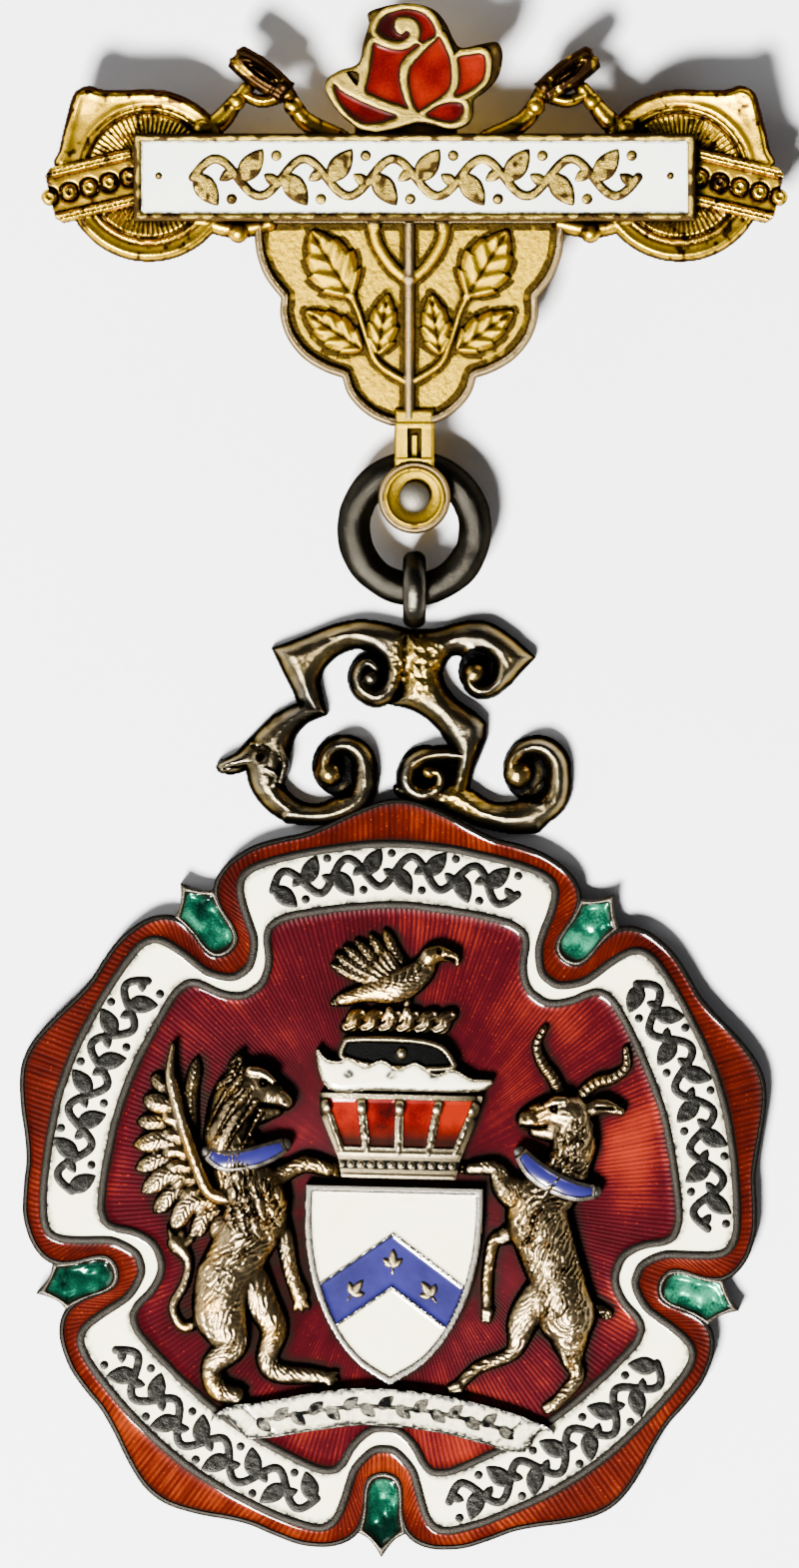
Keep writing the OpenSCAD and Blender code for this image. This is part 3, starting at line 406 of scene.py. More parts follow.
def piece(name, verts, faces, material, nodes, attributes=None, sharp=40.0):
    """A mesh from vertices in millimetres, smooth shaded but for its sharp edges."""
    mesh = bpy.data.meshes.new(name)
    verts = np.asarray(verts, float) * MM
    flat = [np.asarray(f, np.int32) for f in faces if len(f)]
    sizes = np.concatenate([np.full(len(f), f.shape[1], np.int32) for f in flat])
    corners = np.concatenate([f.ravel() for f in flat])
    mesh.vertices.add(len(verts))
    mesh.vertices.foreach_set("co", verts.ravel().astype(np.float32))
    mesh.loops.add(len(corners))
    mesh.loops.foreach_set("vertex_index", corners)
    mesh.polygons.add(len(sizes))
    starts = np.concatenate([[0], np.cumsum(sizes)[:-1]]).astype(np.int32)
    mesh.polygons.foreach_set("loop_start", starts)
    mesh.polygons.foreach_set("loop_total", sizes)
    mesh.polygons.foreach_set("use_smooth", np.ones(len(sizes), bool))
    for key, values in (attributes or {}).items():
        layer = mesh.attributes.new(key, "FLOAT", "POINT")
        layer.data.foreach_set("value", np.asarray(values, np.float32))
    mesh.update(calc_edges=True)
    mesh.validate()
    mesh.set_sharp_from_angle(angle=math.radians(sharp))
    obj = add_object(name, mesh)
    mesh.materials.append(MATS[material])
    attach(obj, "root")
    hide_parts(*nodes)


class Relief:
    """A height map on a regular grid, cut along an outline and closed into a solid."""

    def __init__(self, low, high, step, scale=1.0):
        self.step, self.scale = step * COARSE, scale
        self.x0, self.y0 = low
        self.nx, self.ny = (int(math.ceil((b - a) / self.step)) + 1 for a, b in zip(low, high))
        self.x = self.x0 + self.step * np.arange(self.nx)
        self.y = self.y0 + self.step * np.arange(self.ny)
        self.X, self.Y = np.meshgrid(self.x, self.y)
        self.U, self.V = self.X / scale, self.Y / scale

    def zeros(self, value=0.0):
        return np.full(self.X.shape, float(value))

    def off(self, x, y):
        """Distance in millimetres from a point of the drawing."""
        return np.hypot(self.X - x * self.scale, self.Y - y * self.scale)

    def oval(self, x, y, wide, tall):
        """0 at a point of the drawing, 1 on an oval round it and more outside."""
        return ((self.U - x) / wide) ** 2 + ((self.V - y) / tall) ** 2

    def grain(self, scale, seed, shift=0):
        """Noise over the grid; the shift keeps two draws from one table apart."""
        return lattice_noise(self.X + shift, self.Y + shift, scale, seed)

    def window(self, low, high):
        i0 = max(int((low[0] - self.x0) / self.step), 0)
        i1 = min(int((high[0] - self.x0) / self.step) + 2, self.nx)
        j0 = max(int((low[1] - self.y0) / self.step), 0)
        j1 = min(int((high[1] - self.y0) / self.step) + 2, self.ny)
        return slice(j0, max(j1, j0)), slice(i0, max(i1, i0))

    def inside(self, loops):
        """True inside the loops, by the even-odd rule."""
        out = np.zeros(self.X.shape, bool)
        for p in loops:
            a, b = p[:, :2], np.roll(p[:, :2], -1, 0)
            for (ax, ay), (bx, by) in zip(a, b):
                for j in range(*np.searchsorted(self.y, sorted((ay, by)))):
                    cross = ax + (bx - ax) * (self.y[j] - ay) / (by - ay)
                    i = int(np.searchsorted(self.x, cross, "right"))
                    out[j, i:] ^= True
        return out

    def near(self, q, r, reach):
        """Round a segment: the window, the share along it, the gap to it and its length squared."""
        w = self.window(np.minimum(q, r) - reach, np.maximum(q, r) + reach)
        X, Y = self.X[w], self.Y[w]
        d = r - q
        size = max(float(d @ d), 1e-12)
        t = unit(((X - q[0]) * d[0] + (Y - q[1]) * d[1]) / size)
        return w, t, np.hypot(X - q[0] - t * d[0], Y - q[1] - t * d[1]), size

    def distance(self, loops, reach=1.0, closed=True):
        """Distance to the paths, up to reach; positive inside closed loops and negative elsewhere."""
        best = self.zeros(reach)
        for p in loops:
            a = p[:, :2]
            b = np.roll(a, -1, 0) if closed else a[1:]
            for q, r in zip(a, b):
                w, _, gap, _ = self.near(q, r, reach)
                best[w] = np.minimum(best[w], gap)
        return np.where(self.inside(loops), best, -best) if closed else -best

    def limb(self, rows, steps=6):
        """Fields of a tapered limb: 1 - gap / radius, length along it, signed side and radius there.

        Far outside they are -9, 0, 0 and next to 0."""
        p = spline(rows, steps=steps) if len(rows) > 2 else resample(np.asarray(rows, float), 8)
        s = lengths(p)
        best = self.zeros(-9.0)
        along, side, radius = self.zeros(), self.zeros(), self.zeros(1e-3)
        for k in range(len(p) - 1):
            q, r = p[k, :2], p[k + 1, :2]
            ra, rb = p[k, 2], p[k + 1, 2]
            w, t, gap, size = self.near(q, r, max(ra, rb) * 1.4)
            d = r - q
            here = ra + (rb - ra) * t
            value = 1 - gap / here
            better = value > best[w]
            sign = np.sign(d[0] * (self.Y[w] - q[1]) - d[1] * (self.X[w] - q[0]))
            best[w] = np.where(better, value, best[w])
            along[w] = np.where(better, s[k] + t * math.sqrt(size), along[w])
            side[w] = np.where(better, sign * gap, side[w])
            radius[w] = np.where(better, here, radius[w])
        return best, along, side, radius


def sheet(scale, x0, y0, x1, y1, step):
    """A grid over a box of a drawing; scale is the drawing's unit in millimetres."""
    return Relief((x0 * scale, y0 * scale), (x1 * scale, y1 * scale), step, scale)


def round_profile(t):
    """Quarter round from the edge (t = 0) to the ridge (t = 1), with a straight foot."""
    foot = 0.08
    q0 = 1 - foot
    q = np.clip(1 - t, 0, q0)
    rise = math.sqrt(1 - q0 * q0)
    return np.where(t > foot, np.sqrt(1 - q * q), rise + q0 / rise * (t - foot))


def blur(a, size):
    """Box blur by running sums, twice down and twice across."""
    k = max(int(size), 1)
    wide = 2 * k + 1
    for _ in range(4):
        c = np.cumsum(np.pad(a, ((k + 1, k), (0, 0)), mode="edge"), axis=0)
        a = ((c[wide:] - c[:-wide]) / wide).T
    return a


def bilinear(F, u, v):
    """Value of a field at places given in steps of its grid."""
    i, j = u.astype(int), v.astype(int)
    f, g = u - i, v - j
    return (F[j, i] * (1 - f) * (1 - g) + F[j, i + 1] * f * (1 - g)
            + F[j + 1, i] * (1 - f) * g + F[j + 1, i + 1] * f * g)


def smooth_max(a, b, k):
    return np.maximum(a, b) + np.maximum(k - np.abs(a - b), 0) ** 2 / (4 * k)


def lattice_noise(x, y, scale, seed):
    """Smooth value noise in [-1, 1]; it repeats after as many cells as its table has."""
    cells = 64
    table = np.random.default_rng(seed).uniform(-1, 1, (cells, cells))
    u, v = x / scale, y / scale
    i, j = np.floor(u).astype(int), np.floor(v).astype(int)
    f, g = u - i, v - j
    f, g = f * f * (3 - 2 * f), g * g * (3 - 2 * g)
    i0, i1, j0, j1 = i % cells, (i + 1) % cells, j % cells, (j + 1) % cells
    return ((table[i0, j0] * (1 - f) + table[i1, j0] * f) * (1 - g)
            + (table[i0, j1] * (1 - f) + table[i1, j1] * f) * g)


def relief_attributes(grid, Z, inside, size=0.22, gain=7.0):
    """How far each point stands above or below its surroundings."""
    k = size / grid.step
    low = Z[inside].min() if inside.any() else 0
    base = np.where(inside, Z, low)
    weight = blur(inside.astype(float), k)
    mean = blur(base * inside, k) / np.maximum(weight, 1e-3)
    lift = (Z - mean) * gain
    return {"ridge": unit(lift), "hollow": unit(-lift)}


def relief_solid(name, grid, S, Z, floor, material, nodes, place=on_pendant, attributes=None,
                 sharp=50.0, ridge=True):
    """Closes the part of the height map where S > 0 into a solid that stands on floor."""
    S = np.where(np.abs(S) < 1e-4, 1e-4, S)
    ny, nx = S.shape
    fields = dict(attributes or {})
    if ridge:
        for key, values in relief_attributes(grid, Z, S > 0).items():
            fields.setdefault(key, values)
    index = np.arange(ny * nx).reshape(ny, nx)
    a, b = index[:-1, :-1], index[:-1, 1:]
    c, d = index[1:, 1:], index[1:, :-1]
    odd = (np.add.outer(np.arange(ny - 1), np.arange(nx - 1)) % 2).astype(bool)
    first = np.where(odd[..., None], np.stack([a, b, c], -1), np.stack([a, b, d], -1))
    second = np.where(odd[..., None], np.stack([a, c, d], -1), np.stack([b, c, d], -1))
    tris = np.concatenate([first.reshape(-1, 3), second.reshape(-1, 3)])
    s = S.ravel()
    up = s[tris] > 0
    count = up.sum(1)
    whole = tris[count == 3]

    def rotate(t, u, want):
        """Turns each triangle so that the odd corner comes first."""
        k = np.argmax(u == want, axis=1)
        rows = np.arange(len(t))
        return np.stack([t[rows, (k + j) % 3] for j in range(3)], 1)

    one = rotate(tris[count == 1], up[count == 1], True)
    two = rotate(tris[count == 2], up[count == 2], False)
    ends = np.concatenate([one[:, [0, 1]], one[:, [0, 2]], two[:, [0, 1]], two[:, [0, 2]]])
    keys = np.sort(ends, axis=1)
    code = keys[:, 0].astype(np.int64) * (ny * nx) + keys[:, 1]
    unique, inverse = np.unique(code, return_inverse=True)
    p, q = (unique // (ny * nx)).astype(int), (unique % (ny * nx)).astype(int)
    t = s[p] / (s[p] - s[q])
    n1, n2 = len(one), len(two)
    cut = inverse + ny * nx
    o1, o2 = cut[:n1], cut[n1:2 * n1]
    w1, w2 = cut[2 * n1:2 * n1 + n2], cut[2 * n1 + n2:]
    tops = [whole, np.stack([one[:, 0], o1, o2], 1), np.stack([w1, two[:, 1], two[:, 2]], 1),
            np.stack([w1, two[:, 2], w2], 1)]
    rims = np.concatenate([np.stack([o1, o2], 1), np.stack([w2, w1], 1)])
    top = np.concatenate(tops)

    def lerp(values):
        v = values.ravel()
        return np.concatenate([v, v[p] * (1 - t) + v[q] * t])

    xs, ys, zs = lerp(grid.X), lerp(grid.Y), lerp(Z)
    data = {key: lerp(values) for key, values in fields.items()}
    used = np.unique(top)
    where = np.full(len(xs), -1)
    where[used] = np.arange(len(used))
    top, rims = where[top], where[rims]
    xy = np.stack([xs[used], ys[used]], 1)
    z = np.maximum(zs[used], floor + 0.01)
    edge = np.unique(rims)
    below = np.full(len(used), -1)
    below[edge] = np.arange(len(edge)) + len(used)
    walls = np.stack([rims[:, 0], below[rims[:, 0]], below[rims[:, 1]], rims[:, 1]], 1)
    local = np.full(len(used), -1)
    local[edge] = np.arange(len(edge))
    flat = [Vector(v) for v in xy[edge]]
    made = delaunay_2d_cdt(flat, [tuple(e) for e in local[rims].tolist()], [], 0, 1e-7)
    base_xy = np.array([v[:] for v in made[0]])
    base_tris = np.array([f for f in made[2] if len(f) == 3])
    middle = base_xy[base_tris].mean(1)
    at = np.clip((middle - [grid.x0, grid.y0]) / grid.step, 0, [nx - 1.001, ny - 1.001])
    base_tris = base_tris[bilinear(S, at[:, 0], at[:, 1]) > 0][:, ::-1]
    match = np.full(len(base_xy), -1)
    for k, origins in enumerate(made[3]):
        if origins:
            match[k] = origins[0] + len(used)
    base_tris = match[base_tris]
    base_tris = base_tris[(base_tris >= 0).all(1)]
    all_xy = place(np.concatenate([xy, xy[edge]]))
    verts = np.column_stack([all_xy, np.concatenate([z, np.full(len(edge), float(floor))])])
    data = {key: np.concatenate([v[used], v[used][edge]]) for key, v in data.items()}
    piece(name, verts, [top, base_tris, walls], material, nodes, data, sharp)


def glass(name, grid, S, Z, floor, material, slot, nodes, grime_and_shade, place=on_pendant, **fields):
    """The enamel of one cell, with its dirt and painted shade."""
    relief_solid(name, grid, S, Z, floor, material, nodes, place, {"grime_and_shade": grime_and_shade, **fields},
                 sharp=80, ridge=False)


def wrapped_quads(m, k):
    """Faces of an m by k grid of points that closes on itself both ways."""
    i = np.arange(m * k).reshape(m, k)
    j = np.roll(i, -1, 0)
    return np.stack([i, j, np.roll(j, -1, 1), np.roll(i, -1, 1)], -1).reshape(-1, 4)


def sweep(name, path, profile, material, nodes, attributes):
    """A closed loop of path swept by a closed profile of (outward, up) points."""
    n = normals(path)
    m, k = len(path), len(profile)
    rings = [np.column_stack([on_pendant(path + n * off), np.full(m, up)]) for off, up in profile]
    verts = np.stack(rings, 1).reshape(-1, 3)
    data = {key: np.tile(v, m) for key, v in attributes.items()}
    piece(name, verts, [wrapped_quads(m, k)[:, [0, 3, 2, 1]]], material, nodes, data, 50.0)


def prism(name, loop, low, high, material, nodes, place=on_pendant, bevel=0.08):
    """A clockwise loop raised from low to high, with bevelled edges above and below."""
    n = normals(loop)
    inner = loop - n * bevel
    rings = [(inner, low), (loop, low + bevel), (loop, high - bevel), (inner, high)]
    m = len(loop)
    verts = np.concatenate([np.column_stack([place(p), np.full(m, z)]) for p, z in rings])
    i = np.arange(m)
    j = (i + 1) % m
    sides = np.concatenate([np.stack([j + k * m, i + k * m, i + (k + 1) * m, j + (k + 1) * m], 1)
                            for k in range(3)])
    made = delaunay_2d_cdt([Vector(p) for p in inner], [], [list(range(m))], 1, 1e-7)
    back = np.array([ids[0] for ids in made[3]])
    cap = back[np.array([f for f in made[2] if len(f) == 3])]
    piece(name, verts, [cap[:, ::-1], cap + 3 * m, sides], material, nodes)


def strip(name, inner, outer, profile, along, material, nodes, glow=0.0):
    """A closed band between two matched loops. Profile columns: share across, height, grime."""
    m, k = len(inner), len(profile)
    rings = [np.column_stack([on_pendant(inner * (1 - v) + outer * v), np.full(m, z)])
             for v, z, _ in profile]
    verts = np.stack(rings, 1).reshape(-1, 3)
    data = {"along": np.repeat(along, k), "grime_and_shade": np.tile([row[2] for row in profile], m),
            "glow": np.repeat(np.zeros(m) + glow, k)}
    piece(name, verts, [wrapped_quads(m, k)], material, nodes, data, 60.0)


# ---------------------------------------------------------------- tables
# Columns: angle from a sepal's axis, radius. The last row is the middle of a petal.
RED_EDGE = [[0, 73], [1.9, 73.6], [3.2, 75.1], [3.7, 78.2], [3.6, 83.2], [4, 86.7], [4.8, 88.9],
            [6, 90.6], [7.8, 92], [9.9, 92.8], [13, 93.3], [17, 92.9], [21, 92.5], [25, 93.7],
            [29, 95.9], [33, 98], [36, 98.7]]
PARTITION = [[0, 67], [2.1, 67.4], [4.1, 69.5], [5.8, 72.7], [6.5, 76.5], [7, 80.6], [7.7, 84.8],
             [8.7, 87.6], [10.3, 89], [13, 89.3], [18, 88.8], [24, 88.3], [30, 88.2], [36, 88.2]]
FIELD_EDGE = [[0, 61.8], [2.8, 62.3], [5.3, 64.5], [7, 67.5], [8.1, 71], [9.4, 73.4], [11.2, 74.3],
              [14, 74.4], [20, 73.4], [28, 72.7], [36, 72.6]]
# Columns: distance from the sepal's axis, radius
SEPAL_TIP = [[0, 95], [1.6, 92.4], [3.6, 90.1], [6.4, 88.6]]
SEPAL_BODY = [[6.4, 88.6], [5.6, 86], [5, 82], [4.9, 78], [4, 75], [2, 73.4], [0, 73]]
SEPAL_CELL = [[0, 92], [2.3, 89.8], [4.7, 87.6], [4.1, 84.5], [3.9, 80], [3.5, 77], [2.2, 75], [0, 74.4]]

# Hundredths of the hanger's width; each outline is a row of runs that meet in corners
SCROLLS = [
    [[[-1, 48.4], [-6, 49.8], [-12, 51], [-17, 51.2], [-24, 49.6], [-32, 46.4], [-41, 43]],
     [[-41, 43], [-38.2, 37], [-35, 30.6], [-33.6, 27.4], [-30, 24.2], [-25, 23.8]],
     [[-25, 23.8], [-26.2, 29], [-26.8, 34], [-25, 38], [-21, 41.2], [-16, 42.6], [-10, 40.6], [-5, 35]],
     [[-5, 35], [-4.6, 31], [-1, 31]], [[-1, 31], [-1, 48.4]]],
    [[[-33.6, 27.4], [-38.4, 25], [-43, 21.6], [-46.4, 18], [-47.6, 14.8], [-50.4, 12.6], [-55.6, 11]],
     [[-55.6, 11], [-56.2, 8.8], [-54.4, 6.9], [-51.4, 6.8], [-48.4, 7.8]],
     [[-48.4, 7.8], [-47.4, 3.6], [-45, -0.6], [-41, -4.6], [-36, -7.2], [-30, -7.2], [-24, -5.6],
      [-18, -3.6], [-13.6, 0.4], [-11.8, 5]],
     [[-11.8, 5], [-17, 4], [-22, 1], [-27, -1.4], [-32, -1], [-36, 1.8], [-37.4, 5.4], [-36, 9.2],
      [-35.4, 13.4], [-34, 17.6], [-30.6, 21.4], [-25, 23.8]],
     [[-25, 23.8], [-26, 26.6], [-30, 28.4]], [[-30, 28.4], [-33.6, 27.4]]],
    [[[1, 48.4], [7, 48.8], [12, 50.2], [17, 51], [22, 50.2], [28, 46.4], [34.8, 40.4]],
     [[34.8, 40.4], [31, 36.4], [27.6, 32.4], [24, 30], [20.4, 29.6], [18, 34]],
     [[18, 34], [14, 40], [11, 40.6], [8.6, 37.4], [7.4, 33]],
     [[7.4, 33], [4, 33], [1, 36]], [[1, 36], [1, 48.4]]],
    [[[-3.6, 48.4], [-4.8, 40], [-4.6, 33.6], [-5, 29.6], [-7.4, 26.8]],
     [[-7.4, 26.8], [-1, 25.2], [4, 22.2], [8, 17.8], [10.6, 13], [10.8, 8], [8, -2]],
     [[8, -2], [12, -4], [16, -3]],
     [[16, -3], [15.8, 2], [16.8, 7], [19, 12.6], [20.6, 17], [20.8, 21.4]],
     [[20.8, 21.4], [17.6, 24.6], [13, 27.8], [9.4, 32], [7.8, 37], [7.6, 43], [6, 48.4]],
     [[6, 48.4], [-3.6, 48.4]]],
    [[[-6.2, 3.6], [-5, 0.6], [0, -1.4], [6, -2.4], [12, -5.2], [17, -7.6], [24, -9.6], [30, -10.4],
      [35.8, -10]],
     [[35.8, -10], [40, -5.6], [43.6, 0.6], [44.8, 6]],
     [[44.8, 6], [38, 6], [33, 1.4], [27.6, -1], [22, -0.8], [17, 2.2], [12, 4.8], [4, 4], [-6.2, 3.6]]]]
# Each arm's curled end. Columns of the path: across, up, radius
CURLS = [
    [[-24, 46.0, 1.6], [-20, 46.8, 2.8], [-15.4, 46.4, 3.5], [-10.5, 44.9, 3.6], [-6.8, 41.3, 3.5],
     [-5.6, 36.4, 3.3], [-7.4, 31.1, 3.2], [-11.4, 29, 3.1], [-15.7, 31.9, 2.9], [-16, 36.4, 2.5],
     [-13.6, 38.8, 2.1], [-11.2, 37.3, 1.8]],
    [[-36, -4.6, 2.8], [-27.5, -5, 2.9], [-21.2, -3.6, 3.2], [-15.9, -0.4, 3.6], [-14.1, 5.6, 3.8],
     [-15, 11.9, 3.4], [-19, 15.2, 2.9], [-23.5, 14.1, 2.4], [-25.9, 10.5, 2.2], [-25.4, 6.6, 2.0]],
    [[8, 43.4, 1.6], [10.6, 45.0, 2.6], [14.5, 46.3, 3.2], [20.7, 44.9, 3.3], [25.2, 40.4, 3.1],
     [25.4, 35.5, 2.7], [22.6, 31.6, 2.5], [18.8, 30.6, 2.3], [16.1, 32.6, 2.2], [16.2, 35.2, 2.0]],
    [[13.6, 12.0, 1.4], [11.4, 12.4, 2.4], [8, 12.6, 2.6], [2.4, 11.6, 2.7], [-1.7, 8.3, 3.0],
     [-2, 3.6, 3.0],
     [2.2, 0.9, 2.9], [6.9, 2.9, 2.6], [7.2, 6.7, 2.1], [4.2, 7.8, 1.9]],
    [[19, -4.2, 3.0], [26.1, -6.0, 3.3], [34.1, -5.1, 3.8], [40, -0.6, 4.0], [41.4, 5.6, 3.7],
     [40.4, 11.2, 3.3], [36.2, 14.6, 2.9], [31, 13.8, 2.5], [28, 10.2, 2.3], [28.2, 6.8, 2.1]]]
# Columns: across, up and radius of the disc; across, up and radius of the end ball; gilding; patina
EYES = [[-11.8, 34.6, 7.4, -12.5, 34.2, 3.1, 0.0, 0.45],
        [-20.4, 9.2, 9.0, -24.6, 7.0, 3.9, 0.55, 0.05],
        [19.6, 36.4, 7.0, 17.2, 35.6, 3.5, 0.6, 0.0],
        [3.2, 7.6, 7.6, 4.0, 7.2, 2.5, 0.75, 0.1],
        [35.2, 8.2, 9.8, 29.6, 6.8, 4.3, 0.55, 0.15]]
# The beast's head on the left arm. Columns: across, up, radius
BEAST = [[[-38, 20, 4.6], [-42, 15.6, 5.0], [-46, 12.4, 4.2], [-49.6, 10.8, 2.8], [-55, 8.9, 1.9]],
         [[-39, 15, 1.3], [-37.2, 10, 1.6], [-38.6, 4.4, 1.3]],
         [[-42.6, 8.4, 1.2], [-39.6, 6.4, 1.4], [-40.6, 3.4, 1.0]],
         [[-46.6, 15.4, 0.9], [-44, 15.0, 1.1], [-41.8, 13.4, 0.9]]]

# Raised figures in hundredths of the pendant's radius. Columns of each limb: across, up, radius
LION = {
    "tail": [[-44, -32, 2], [-51.6, -37, 1.4], [-55, -32, 1.3], [-52, -25.6, 1.3], [-51.4, -20, 1.4],
             [-54.6, -15.6, 2.4]],
    "wing": [[-38, -4, 4], [-46, -2.4, 3], [-50, 5, 3], [-54, 16, 2.8], [-57, 27, 2.4],
             [-56.6, 35, 1.2]],
    "hind_far": [[-37, -22, 6], [-32.6, -30, 4.8], [-29, -37, 3.8], [-30.6, -44.5, 3], [-28, -48, 2.8],
                 [-20, -48.6, 2.4], [-15.6, -49, 2]],
    "fore_far": [[-32, -6, 5.5], [-27, -14, 2.8], [-25, -22, 2.2], [-22.6, -28, 2.4]],
    "body": [[-42, 12, 6.5], [-38, 3, 8], [-34, -5, 8.5], [-37, -14, 8], [-42, -24, 7.5]],
    "hind": [[-42, -24, 7.5], [-43, -33, 7], [-40, -41, 4.6], [-44.6, -47, 3], [-43, -52.6, 3],
             [-38.6, -54, 2.6]],
    "fore": [[-33, 0, 5], [-27, 3.4, 2.6], [-22, 5.6, 2.4], [-16.4, 4.4, 2]],
    "jaw": [[-35, 19, 4], [-30, 19.6, 2.2]],
    "neck": [[-42, 12, 6.5], [-40, 21, 7], [-36.5, 25.5, 6]],
    "muzzle": [[-36, 25, 5.4], [-30.5, 23, 3.8], [-27.6, 21.6, 2.6]],
    "ear": [[-40.6, 30, 2], [-39.6, 32.6, 1]],
}
# Columns: across and up at the root, across and up at the tip, radius
FEATHERS = [[-51, 13, -50.4, 32, 1.8], [-55, 16, -61.6, 27, 1.9], [-52.6, 11, -64.6, 18, 2],
            [-51, 6, -65.6, 9, 2], [-49.6, 2, -64.6, 0.6, 2], [-47.6, -1, -61.6, -6, 1.9],
            [-45, -3.6, -56.6, -10.6, 1.9], [-42, -6, -50.4, -13, 1.8], [-39, -8, -44, -15, 1.7]]
MANE = [[-38, 31, -44, 29, -48, 23], [-41, 28.6, -46, 25, -48.4, 18], [-39.6, 26, -43.6, 22, -47, 15],
        [-37.6, 23, -41, 19, -45, 12], [-35.6, 20, -38.6, 16, -42, 10.6], [-34, 18, -36, 14, -38, 10]]
ANTELOPE = {
    "tail": [[52, -29, 2], [56.4, -31, 1.4]],
    "horn_far": [[43.4, 24, 1.9], [41, 29, 1.7], [38, 33, 1.5], [36.6, 37.6, 1.2], [38.6, 42, 0.8]],
    "horn": [[47.6, 24, 1.9], [51.6, 28, 1.7], [56.4, 29.6, 1.5], [59.6, 32.6, 1.2], [59.4, 37, 0.8]],
    "hind_far": [[40, -26, 5.6], [35, -33, 4.4], [32.4, -41.4, 2.1], [23.6, -45.6, 1.7],
                 [18.6, -50.4, 1.6]],
    "fore_far": [[36, -8, 5], [29.6, -11.6, 2.4], [26.6, -13.6, 1.9], [25.4, -22, 1.6],
                 [25.6, -31, 1.5]],
    "body": [[47, 12, 6], [44, 4, 6.6], [38, -4, 8.4], [40, -13, 8], [43.6, -23, 7.4], [46, -32, 7.6]],
    "hind": [[46.6, -36, 5.6], [47.6, -43, 2.8], [49, -47.4, 2], [45.6, -52, 1.7], [43.4, -54.6, 1.5]],
    "fore": [[33, -1, 5], [29.4, 1, 3.6], [26.6, 5.6, 2.2], [20.4, 5.4, 1.7]],
    "jaw": [[42, 15.6, 3.4], [37, 16, 2.3]],
    "neck": [[47, 12, 6], [45.6, 19, 5.4], [40, 20, 4.2], [34.4, 18.6, 2.7]],
    "ear": [[50, 21, 2], [54, 22.4, 2], [58.6, 21, 1]],
}
BIRD = {
    "leg_a": [[3, 50, 1.8], [3, 45.6, 1]],
    "leg_b": [[-1.4, 50, 1.8], [-1.4, 45.6, 1]],
    "body": [[8.6, 59.6, 2.6], [6, 55, 3.6], [0, 51.6, 4.4], [-7, 50, 2.6], [-13.6, 48, 1.6]],
    "head": [[8.6, 59.6, 2.6], [11.4, 60.4, 2.2], [15, 59, 0.9]],
}
# Columns: across and up at the root, direction in degrees, length
QUILLS = [[3.4, 55.5, 122, 12.5], [2.2, 54.6, 132, 13.6], [1.2, 53.8, 141, 15.0], [0.4, 53.2, 149, 16.2],
          [-0.4, 52.6, 156, 16.8], [-1.0, 52.0, 163, 16.4]]
WREATH = [[-10.4 + 4.6 * i, 42.8] for i in range(6)]
LION_COLLAR = [[-47, 8, 3.6], [-42.6, 6, 5.4], [-37, 6.6, 5.6], [-31.6, 8.4, 5.2], [-27.4, 10.4, 3.6]]
ANTELOPE_COLLAR = [[52.4, 0.4, 3.4], [47.6, 0.4, 5], [42, 2.4, 5.6], [36.8, 5.6, 5.4], [33, 9.8, 3.6]]

SHIELD = [[0, 0.6], [22.8, 0.6], [22.8, -8], [22, -17], [19.6, -27], [15, -37], [8.6, -45], [0, -50.6]]
SHIELD_CELL = [[0, -1.2], [21, -1.2], [21, -8], [20.2, -17], [17.9, -26.4], [13.6, -36], [7.6, -43.4],
               [0, -48.2]]
CHEVRON_SLOPE, CHEVRON_PEAK, CHEVRON_W, CHEVRON_EDGE = 0.72, -12, 13, 0.8
# Columns: foot and head of each post, across
POSTS = [[-12.4, -17.4], [-6.2, -8], [1.8, 1.8], [9.4, 11.6], [16, 21]]
CORONET = [[-18.8, 24], [23, 24], [22, 19], [17.6, 7.6], [16.6, 2.6], [-12.6, 2.6], [-13.6, 7.6],
           [-18.6, 19]]
BRIM = [[-20, 35], [-17, 32.6], [-13.6, 32.4], [-11.6, 33.4], [-7.4, 31.2], [-3, 32.8], [1.2, 30.6],
        [5.6, 32.4], [10.6, 29.6], [15.4, 30.8], [20, 28.6], [25.6, 28.2], [22.6, 25.4], [10, 24.8],
        [-4, 25], [-16.6, 25]]
CAP = [[-14, 33], [-13.4, 37], [-11, 38.6], [4, 38.8], [12, 37.2], [15.4, 33.6], [16, 31], [10.6, 30],
       [0, 30], [-8, 31]]
BANNER = [[-43.6, -61, 1], [-38, -60.8, 8.6], [-32, -60.4, 9.4], [-20, -58, 9.8], [-8, -56.2, 9.8],
          [2, -56.2, 9.8], [14, -57.4, 9.8], [26, -60, 9.8], [35, -62.4, 9.2], [42, -62.6, 1.6]]

# Brooch, in hundredths of half its width
HOOP_X, HOOP_Y, HOOP_R, RIB_R = 71.2, 0.8, 23.1, 17.2
HORN = [[-58, 18.6], [-66, 23.4], [-79, 23.8], [-84, 23.9], [-87, 24.9], [-89.6, 24.2], [-91.6, 22.2],
        [-93.4, 16], [-95.2, 8], [-96, 3], [-84, -2], [-80, 12], [-70, 18]]
STRAP_TILT, STRAP_HALF, STRAP_LEN = 13.5, 7.6, 24.0
BEAD_R, BEAD_PITCH, RAIL_W = 2.15, 5.5, 3.0
PLAQUE_X = -1.4
LOBES = [[[41.5, -10], [41.5, -16], [40.6, -21.6], [38.3, -27], [34.4, -32]],
         [[34.4, -32], [34.6, -37], [32.6, -43], [28.4, -48.2], [23, -51.6], [18, -53.4]],
         [[18, -53.4], [16.6, -57.6], [13.6, -61.4], [9.6, -64.4], [5, -66.3]]]
